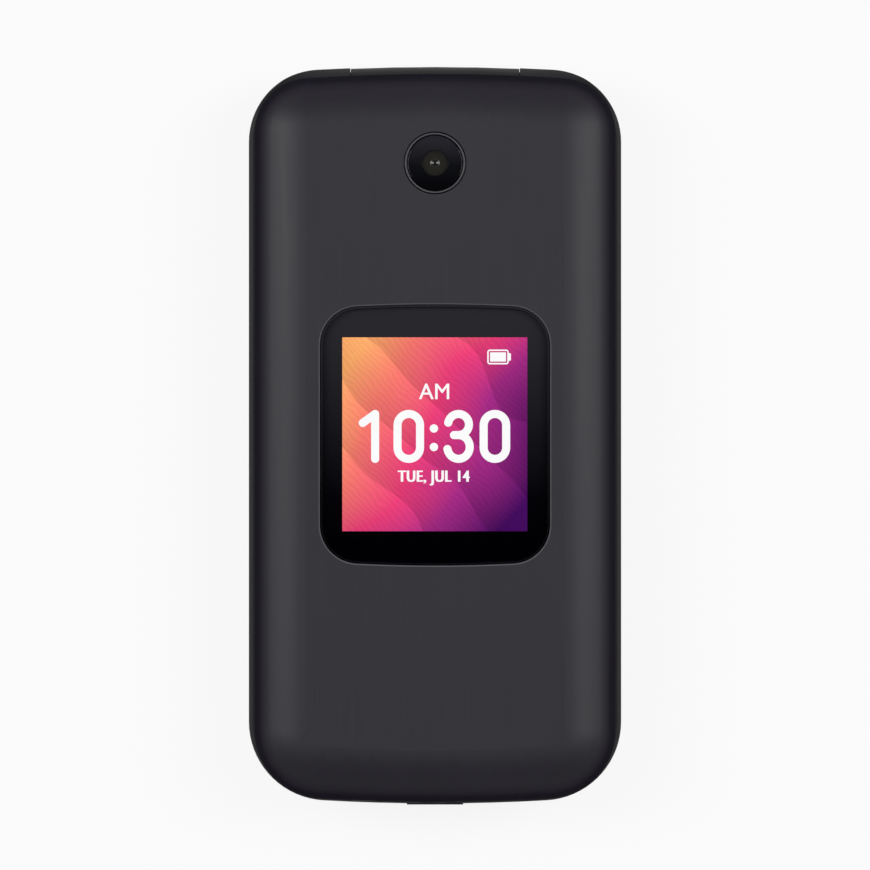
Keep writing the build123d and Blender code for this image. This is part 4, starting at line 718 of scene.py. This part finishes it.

# %% [markdown]
# ## Windows and their print
#
# Both windows are clear plastic: a weak mirror over a transparent shader, with dark walls round
# it. Bare plastic would turn into a full mirror when seen along its surface. These windows have a
# coating against glare that takes away more than half of it, so the picture can still be read.
#
# Round the picture the window is printed black on its back. That print is a piece of its own, cut from the
# window's outline with a hole for the picture, so the hole's corners are sharp from every side. On the outer
# window the print carries a painted reflection: charcoal near the hinge and fading to black, as a soft light
# above would mirror in it, and the window's slanted edge and walls take the same painted colours.


# %% Clear windows
def clear_window(name, node, shade):
    """A clear window. The shade is the colour of its slanted edge and walls along Y, in mm; on the outer
    window it is a painted reflection, lighter towards the hinge.
    """
    finish, tree, output = blank_finish(name)
    edge = span(tree, flatness(tree), 0.85, 0.97, 1, 0)
    shader = tree.nodes.new("ShaderNodeBsdfPrincipled")
    tree.links.new(mixed(tree, edge, (1, 1, 1, 1), shaded(tree, shade)), shader.inputs["Base Color"])
    tree.links.new(span(tree, edge, 0, 1, 1, 0), shader.inputs["Metallic"])
    smear = mottle(tree, place(tree), 5 * MM)
    tree.links.new(span(tree, smear, 0.3, 0.7, 0.03, 0.07), shader.inputs["Roughness"])
    mirror = tree.nodes.new("ShaderNodeFresnel")
    mirror.inputs["IOR"].default_value = 1.45
    surface = tree.nodes.new("ShaderNodeNewGeometry")
    outer_side = sum_up(tree, "SUBTRACT", 1.0, surface.outputs["Backfacing"])
    coated = sum_up(tree, "MULTIPLY", mirror.outputs["Fac"], 0.4)
    shine = sum_up(tree, "MULTIPLY", coated, outer_side)
    clear = tree.nodes.new("ShaderNodeBsdfTransparent")
    pane = tree.nodes.new("ShaderNodeMixShader")
    tree.links.new(sum_up(tree, "MAXIMUM", shine, edge), pane.inputs["Fac"])
    tree.links.new(clear.outputs["BSDF"], pane.inputs[1])
    tree.links.new(shader.outputs["BSDF"], pane.inputs[2])
    tree.links.new(pane.outputs["Shader"], output.inputs["Surface"])
    dress(finish, node)


# painted reflection: charcoal near the hinge fading to black, as a soft light above would mirror in the glass
outer_painted_reflection = [
    (-15.0, screen(0, 0, 2)),
    (-9.0, screen(3, 3, 7)),
    (-5.0, screen(13, 13, 17)),
    (0.0, screen(22, 21, 26)),
    (5.0, screen(31, 30, 35)),
    (11.0, screen(39, 38, 43)),
    (16.0, screen(44, 43, 48)),
]
main_shade = [(-40.0, screen(5, 5, 7)), (0.0, screen(7, 7, 9)), (40.0, screen(6, 6, 8))]
clear_window("outer_window", "outer_display_window", outer_painted_reflection)
clear_window("main_window", "main_display_window", main_shade)


# %% Print behind a window
def window_print(name, node, hole, centre, shade, facing=1):
    """Black print on a window's back, with a hole. The shade is its colour along Y, in mm; on the outer
    window it is a painted reflection, lighter towards the hinge.
    """
    finish, tree, output = blank_finish(name)
    shader = tree.nodes.new("ShaderNodeBsdfPrincipled")
    tree.links.new(shader.outputs["BSDF"], output.inputs["Surface"])
    tree.links.new(shaded(tree, shade), shader.inputs["Base Color"])
    ink = mottle(tree, place(tree), 2 * MM)
    tree.links.new(span(tree, ink, 0.3, 0.7, 0.45, 0.55), shader.inputs["Roughness"])
    shader.inputs["Specular IOR Level"].default_value = 0.0

    low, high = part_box(node)
    back = low.z if facing == 1 else high.z
    middle = Vector(((low.x + high.x) / 2, (low.y + high.y) / 2))
    window = phone[node]
    corners = [(window.matrix_world @ v.co) for v in window.data.vertices]
    line = {(round(c.x / MM, 3), round(c.y / MM, 3)) for c in corners if abs(c.z - back) < 0.01 * MM}
    line = sorted(line, key=lambda p: math.atan2(p[1] - middle.y / MM, p[0] - middle.x / MM))
    drawing = bmesh.new()
    for points, inset in ((line, 0.998), (box_line(*hole, 0.02, *centre, 1), 1.0)):
        loop = [drawing.verts.new((x * inset * MM, y * inset * MM, back + facing * PRINT)) for x, y in points]
        for a, b in zip(loop, loop[1:] + loop[:1]):
            drawing.edges.new((a, b))
    bmesh.ops.triangle_fill(drawing, use_beauty=True, edges=drawing.edges)
    for face in drawing.faces:
        if face.normal.z * facing < 0:
            face.normal_flip()
    piece = new_piece(name, drawing, finish, "lid")
    print(name, "outline of", len(line), "points,", len(piece.data.polygons), "faces")


window_print("outer_print", "outer_display_window", (OUTER_W, OUTER_H), outer_centre, outer_painted_reflection)

# %% [markdown]
# ## Camera
#
# The camera sits under a domed black window in a thin dark ring. The ring carries a thin bright line painted
# round it, a painted highlight of a turned edge, and the dome's black is painted lighter towards the hinge, a
# painted reflection. The dome is a lathed piece: a profile turned round the camera's axis. Its middle is the
# lens, a small bulge of its own with an olive cast, which catches two tiny reflections of the lamps.


# %% Lathe
def lathed(name, profile, centre, finish, body, steps=96):
    """Turns (radius, height) points round an upright axis."""
    mesh = bmesh.new()
    rows = []
    for radius, height in profile:
        if radius == 0:
            rows.append([mesh.verts.new((0, 0, height * MM))])
            continue
        ring = [2 * math.pi * i / steps for i in range(steps)]
        spots = [(radius * math.cos(a), radius * math.sin(a), height) for a in ring]
        rows.append([mesh.verts.new(Vector(spot) * MM) for spot in spots])
    for a, b in zip(rows, rows[1:]):
        for i in range(steps):
            j = (i + 1) % steps
            corners = [a[i % len(a)], a[j % len(a)], b[j % len(b)], b[i % len(b)]]
            unique = list(dict.fromkeys(corners))
            if len(unique) > 2:
                mesh.faces.new(unique)
    bmesh.ops.recalc_face_normals(mesh, faces=mesh.faces)
    bmesh.ops.translate(mesh, vec=centre, verts=mesh.verts)
    piece = new_piece(name, mesh, finish, body)
    piece.data.shade_smooth()
    piece.data.set_sharp_from_angle(angle=math.radians(35))
    return piece


def off_axis(tree, centre):
    """How far a point is from an upright axis, in metres."""
    mapping = tree.nodes.new("ShaderNodeMapping")
    mapping.inputs["Location"].default_value = (-centre.x, -centre.y, 0)
    mapping.inputs["Scale"].default_value = (1, 1, 0)
    tree.links.new(place(tree), mapping.inputs["Vector"])
    length = tree.nodes.new("ShaderNodeVectorMath")
    length.operation = "LENGTH"
    tree.links.new(mapping.outputs["Vector"], length.inputs[0])
    return length.outputs["Value"]


# %% Lens and dome
window_low, window_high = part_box("camera_window")
camera_centre = Vector(((window_low.x + window_high.x) / 2, (window_low.y + window_high.y) / 2, window_low.z))
dome_r = (window_high.x - window_low.x) / 2 / MM
dome_t = (window_high.z - window_low.z) / MM
LENS_R = 1.86

lens_black, tree, output = blank_finish("lens_black")
shader = tree.nodes.new("ShaderNodeBsdfPrincipled")
tree.links.new(shader.outputs["BSDF"], output.inputs["Surface"])
split = tree.nodes.new("ShaderNodeSeparateXYZ")
tree.links.new(place(tree), split.inputs["Vector"])
# painted reflection: the dome is coloured from near black at the thumb end to charcoal at the hinge end
edges = (camera_centre.y - dome_r * MM, camera_centre.y + dome_r * MM)
painted_reflection_fade = span(tree, split.outputs["Y"], *edges, 0, 1)
painted_reflection_tints = [(0.1, screen(4, 4, 7)), (0.45, screen(14, 15, 18)), (0.9, screen(40, 39, 45))]
tree.links.new(ramp(tree, painted_reflection_fade, painted_reflection_tints), shader.inputs["Base Color"])
smear = mottle(tree, place(tree), 2 * MM)
tree.links.new(span(tree, smear, 0.3, 0.7, 0.04, 0.09), shader.inputs["Roughness"])

EDGE_ROUND = 0.1
SAG = 0.05  # how much higher the window is in its middle
dome_profile = [(0, 0), (dome_r, 0), (dome_r, dome_t - SAG - EDGE_ROUND)]
for r, z in arc(dome_r - EDGE_ROUND, dome_t - SAG - EDGE_ROUND, EDGE_ROUND, 15, 90, 5):
    dome_profile.append((r, z))
for share in (0.85, 0.7, 0.55):
    dome_profile.append((dome_r * share, dome_t - SAG * share**2))
dome_profile += [(LENS_R + 0.04, dome_t - 0.02), (LENS_R, dome_t - 0.08)]
dome_profile += [(LENS_R, dome_t / 2), (0, dome_t / 2)]
camera_dome = lathed("camera_dome", dome_profile, camera_centre, lens_black, "lid")
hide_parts("camera_window")

# %% Lens with its coloured coating
lens_coating, tree, output = blank_finish("lens_coating")
shader = tree.nodes.new("ShaderNodeBsdfPrincipled")
tree.links.new(shader.outputs["BSDF"], output.inputs["Surface"])
rings = [
    (0.00, screen(16, 16, 16)),
    (0.20, screen(20, 20, 19)),
    (0.30, screen(40, 39, 34)),
    (0.70, screen(38, 37, 33)),
    (0.94, screen(30, 30, 28)),
    (1.00, screen(18, 18, 19)),
]
from_axis = span(tree, off_axis(tree, camera_centre), 0, LENS_R * MM, 0, 1)
tree.links.new(ramp(tree, from_axis, rings), shader.inputs["Base Color"])
haze = mottle(tree, place(tree), 0.7 * MM)
tree.links.new(span(tree, haze, 0.3, 0.7, 0.05, 0.09), shader.inputs["Roughness"])
PUPIL_R = 0.62
pupil_low = dome_t - 0.2
bulge = [(0, dome_t / 2), (LENS_R - 0.02, dome_t / 2), (LENS_R - 0.02, dome_t - 0.16)]
bulge.append((PUPIL_R + 0.1, pupil_low))
for i in range(9):
    share = 1 - i / 8
    bulge.append((PUPIL_R * share, pupil_low + 0.16 * (1 - share**2)))
lathed("camera_lens", bulge, camera_centre, lens_coating, "lid")

# %% Ring round the camera
ring_low, ring_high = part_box("camera_trim_ring")
ring_r = (ring_high.x - ring_low.x) / 2
trim_ring, tree, output = blank_finish("trim_ring")
shader = tree.nodes.new("ShaderNodeBsdfPrincipled")
tree.links.new(shader.outputs["BSDF"], output.inputs["Surface"])
shader.inputs["Metallic"].default_value = 0.6
# painted highlight: a thin bright band in the dark ring stands for light caught by a turned edge
painted_edge_highlight = [
    (0.915, screen(8, 8, 10)),
    (0.935, screen(88, 86, 92)),
    (0.955, screen(88, 86, 92)),
    (0.975, screen(8, 8, 10)),
]
from_axis = span(tree, off_axis(tree, camera_centre), 0, ring_r, 0, 1)
tree.links.new(ramp(tree, from_axis, painted_edge_highlight), shader.inputs["Base Color"])
fine = mottle(tree, place(tree), 0.06 * MM)
tree.links.new(span(tree, fine, 0.3, 0.7, 0.35, 0.5), shader.inputs["Roughness"])
dress(trim_ring, "camera_trim_ring")
print("camera window radius", round(dome_r, 2), "mm")

# %% [markdown]
# ## The main display
#
# It faces down while the phone is closed, so everything on it is drawn with its top towards the
# thumb end and then turned over. It shows the same silk, a larger clock, a row of status marks
# and three plain symbols over the soft keys. A real phone switches this display off when it's
# shut. Here it stays lit, but the keys neither catch nor mirror its light, so that none leaks out
# of the thin gap between the two halves.

# %% Main picture and its print
window_low, window_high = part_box("main_display_window")
MAIN_W = 43.2
MAIN_H = 57.6
main_centre = (0.0, (window_low.y + window_high.y) / 2 / MM)
main_level = window_high.z + 3 * PRINT

drawing = bmesh.new()
add_fill(drawing, box_line(MAIN_W, MAIN_H, 0.05, steps=1))
main_wallpaper = silk_wallpaper("main_wallpaper", main_centre, (MAIN_W, MAIN_H), up=-1)
main_picture = flat_piece("main_picture", drawing, main_wallpaper, "lid", main_centre,
                          main_level, facing=-1)
window_print("main_print", "main_display_window", (MAIN_W, MAIN_H), main_centre, main_shade,
             facing=-1)


# %% Status marks and symbols
def add_signal_mark(mesh, x, y, height):
    """Four bars that grow to the right."""
    for step in range(4):
        tall = height * (0.4 + 0.2 * step)
        bar = box_line(height * 0.2, tall, 0.05, x + step * height * 0.3, y - (height - tall) / 2, 1)
        add_fill(mesh, bar)


def add_envelope(mesh, x, y, width, height, line):
    """An envelope with its flap."""
    add_band(mesh, box_line(width, height, line, x, y, 3), line, closed=True)
    flap = [(x - width / 2, y + height / 2), (x, y - height * 0.08), (x + width / 2, y + height / 2)]
    add_band(mesh, flap[:2], line)
    add_band(mesh, flap[1:], line)


def add_menu_mark(mesh, x, y, size):
    """Nine dots in a square."""
    for row in (-1, 0, 1):
        for column in (-1, 0, 1):
            add_fill(mesh, arc(x + column * size * 0.38, y + row * size * 0.38, size * 0.11, 0, 360, 16)[:-1])


def add_person(mesh, x, y, size, line):
    """A head over shoulders."""
    add_band(mesh, arc(x, y + size * 0.24, size * 0.2, 0, 360, 24)[:-1], line, closed=True)
    add_band(mesh, arc(x, y - size * 0.42, size * 0.38, 12, 168, 20), line)


drawing = bmesh.new()
add_clock(drawing, 9.6, 1.15, 0.0, 13.5)
add_words(drawing, "TUE, JUL 14", 2.1, 0.0, 5.6, weight=0.12, narrow=0.95)
add_battery_mark(drawing, 18.2, 26.4, 3.6, 2.0, charge=0.85)
add_signal_mark(drawing, -20.0, 26.4, 2.2)
add_envelope(drawing, -16.0, -25.0, 4.0, 2.8, 0.32)
add_menu_mark(drawing, 0.0, -25.0, 3.6)
add_person(drawing, 16.0, -25.0, 3.8, 0.34)
main_marks = flat_piece("main_marks", drawing, lit_white, "lid", main_centre,
                        main_level - PRINT, facing=-1)
for piece in (main_picture, main_marks):
    piece.visible_diffuse = False
    piece.visible_glossy = False

# %% [markdown]
# ## Key legends
#
# Each number key carries its figure and the letters that go with it, as every phone's keypad
# does. The call and end keys carry a handset in green and red, and the others a plain symbol. A
# legend is a print on the key's top, so it belongs to that key's body and dips with it.


# %% Legend paints and places
def legend_paint(name, colour):
    """A printed colour, slightly uneven and slightly rough."""
    return grained(name, colour, 0.45, grain=0.25, bump=0.05, spread=0.03)


white_print = legend_paint("white_print", screen(226, 228, 230))
green_print = legend_paint("green_print", screen(60, 190, 92))
red_print = legend_paint("red_print", screen(218, 60, 52))


def key_place(name):
    """Middle of a key in mm, and the level for a print on its top in metres."""
    low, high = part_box(name)
    middle = ((low.x + high.x) / 2 / MM, (low.y + high.y) / 2 / MM)
    return middle, high.z + PRINT


# %% Figures on the number keys
LETTERS = {"key_2": "ABC", "key_3": "DEF", "key_4": "GHI", "key_5": "JKL", "key_6": "MNO",
           "key_7": "PQRS", "key_8": "TUV", "key_9": "WXYZ", "key_0": "+"}

for name in NUMBER_KEYS:
    middle, top = key_place(name)
    figure = {"key_star": "*", "key_hash": "#"}.get(name, name[-1])
    drawing = bmesh.new()
    if name in LETTERS:
        add_words(drawing, figure, 4.2, -2.6, 0.0, weight=0.12)
        add_words(drawing, LETTERS[name], 1.9, 2.9, -1.1, narrow=0.74 if name == "key_9" else 0.92)
    elif figure == "*":
        for turn in (30, 90, 150):
            ends = arc(0, 0, 1.7, turn, turn + 180, 1)
            add_band(drawing, ends, 0.5)
    else:
        add_words(drawing, figure, 4.2, 0.0, 0.0, weight=0.12)
    flat_piece(name + "_legend", drawing, white_print, name, middle, top)
print("legends on", len(NUMBER_KEYS), "number keys")


# %% Symbols on the other keys
def add_handset(mesh, tilt):
    """A telephone handset: a bowed grip with a thick end at each side."""
    spin = Matrix.Rotation(math.radians(tilt), 2)
    grip = arc(0, -1.75, 2.35, 48, 132)
    ends = [[(side * 1.75, -0.05), (side * 1.8, -0.6)] for side in (-1, 1)]
    for line, width in ((grip, 0.75), (ends[0], 1.15), (ends[1], 1.15)):
        add_band(mesh, [spin @ Vector(p) for p in line], width)


def symbol(name, draw, paint=white_print):
    """Draws a symbol in the middle of a key."""
    middle, top = key_place(name)
    drawing = bmesh.new()
    draw(drawing)
    flat_piece(name + "_legend", drawing, paint, name, middle, top)


def draw_camera(mesh):
    add_band(mesh, box_line(4.2, 2.8, 0.5, 0, -0.2), 0.35, closed=True)
    add_band(mesh, arc(0, -0.2, 0.78, 0, 360, 24)[:-1], 0.35, closed=True)
    add_band(mesh, [(-0.7, 1.65), (0.7, 1.65)], 0.4)


symbol("call_key", lambda mesh: add_handset(mesh, 130), green_print)
symbol("end_key", lambda mesh: add_handset(mesh, 0), red_print)
symbol("clear_key", lambda mesh: add_words(mesh, "CLR", 2.0))
symbol("message_key", lambda mesh: add_envelope(mesh, 0, 0, 4.2, 2.9, 0.35))
symbol("camera_key", draw_camera)
symbol("soft_key_left", lambda mesh: add_band(mesh, [(-1.5, 0), (1.5, 0)], 0.5))
symbol("soft_key_right", lambda mesh: add_band(mesh, [(-1.5, 0), (1.5, 0)], 0.5))

# %% Navigation marks
middle, top = key_place("nav_ring")
drawing = bmesh.new()
for turn in range(4):
    spin = math.radians(90 * turn)
    tip = [(0, 8.7), (-0.85, 7.7), (0.85, 7.7)]
    add_fill(drawing, [Matrix.Rotation(spin, 2) @ Vector(p) for p in tip])
flat_piece("nav_marks", drawing, white_print, "nav_ring", middle, top)

middle, top = key_place("ok_key")
drawing = bmesh.new()
add_words(drawing, "OK", 2.5, weight=0.1)
flat_piece("ok_legend", drawing, white_print, "ok_key", middle, top)

# %% [markdown]
# ## Studio
#
# The phone lies on a plain pale floor. Two long soft boxes stand to its left and right, about 37
# degrees from straight above, so that their reflections land on the rolled edges and not on the
# flat middle. The sky of the studio is pale near the horizon and dark overhead, and that dark is
# what the flat windows mirror.

# %% Floor
floor_mesh = bmesh.new()
FLOOR_HALF = 2.5
corners = [(-1, -1), (1, -1), (1, 1), (-1, 1)]
floor_mesh.faces.new([floor_mesh.verts.new((x * FLOOR_HALF, y * FLOOR_HALF, 0)) for x, y in corners])
floor_data = bpy.data.meshes.new("floor")
floor_mesh.to_mesh(floor_data)
floor_mesh.free()
floor = bpy.data.objects.new("floor", floor_data)
bpy.context.scene.collection.objects.link(floor)
floor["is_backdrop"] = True

floor_white, tree, output = blank_finish("floor_white")
matte = tree.nodes.new("ShaderNodeBsdfDiffuse")
matte.inputs["Color"].default_value = (0.82, 0.82, 0.82, 1)
shine = tree.nodes.new("ShaderNodeEmission")
shine.inputs["Strength"].default_value = 1.0
path = tree.nodes.new("ShaderNodeLightPath")
seen = sum_up(tree, "MAXIMUM", path.outputs["Is Camera Ray"], path.outputs["Is Transmission Ray"])
seen = sum_up(tree, "MAXIMUM", seen, path.outputs["Is Glossy Ray"])
blend = tree.nodes.new("ShaderNodeMixShader")
tree.links.new(sum_up(tree, "MULTIPLY", seen, 0.88), blend.inputs["Fac"])
tree.links.new(matte.outputs["BSDF"], blend.inputs[1])
tree.links.new(shine.outputs["Emission"], blend.inputs[2])
tree.links.new(blend.outputs["Shader"], output.inputs["Surface"])
floor_data.materials.append(floor_white)


# %% Soft boxes
def soft_box(name, spot, size, power, target=(0, 0, 0)):
    """An area light that faces the phone."""
    data = bpy.data.lights.new(name, "AREA")
    data.shape = "RECTANGLE"
    data.size, data.size_y = size
    data.energy = power
    box = bpy.data.objects.new(name, data)
    box.location = spot
    box.rotation_euler = (Vector(target) - Vector(spot)).to_track_quat("-Z", "Y").to_euler()
    bpy.context.scene.collection.objects.link(box)
    return box


soft_box("box_left", (-0.455, 0.12, 0.62), (0.30, 0.62), 2.9)
soft_box("box_right", (0.455, 0.12, 0.62), (0.30, 0.62), 2.9)

# %% Sky
sky = bpy.data.worlds.new("studio")
bpy.context.scene.world = sky
sky.use_nodes = True
tree = sky.node_tree
tree.nodes.clear()
output = tree.nodes.new("ShaderNodeOutputWorld")
light = tree.nodes.new("ShaderNodeBackground")
tree.links.new(light.outputs["Background"], output.inputs["Surface"])
where = tree.nodes.new("ShaderNodeTexCoord")
split = tree.nodes.new("ShaderNodeSeparateXYZ")
tree.links.new(where.outputs["Generated"], split.inputs["Vector"])
heights = [
    (0.04, (0.92, 0.92, 0.92, 1)),
    (0.10, (0.14, 0.14, 0.145, 1)),
    (0.34, (0.10, 0.10, 0.105, 1)),
    (0.50, (0.34, 0.34, 0.34, 1)),
    (0.80, (0.22, 0.22, 0.22, 1)),
    (0.97, (0.03, 0.03, 0.035, 1)),
]
tree.links.new(ramp(tree, split.outputs["Z"], heights), light.inputs["Color"])

scene = bpy.context.scene
scene.view_settings.view_transform = "Standard"

# %% [markdown]
# ## Measure and finish
#
# The dressed phone must not be bigger than the frame, so its box is compared with the frame's box, and the
# largest change is printed.

# %% Boxes
visual_box = [list(corner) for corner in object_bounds()]
growth = [max(abs(a - b) for a, b in zip(*pair)) for pair in zip(cad_box, visual_box)]
print("largest change of the box, mm:", round(max(growth) / MM, 3))
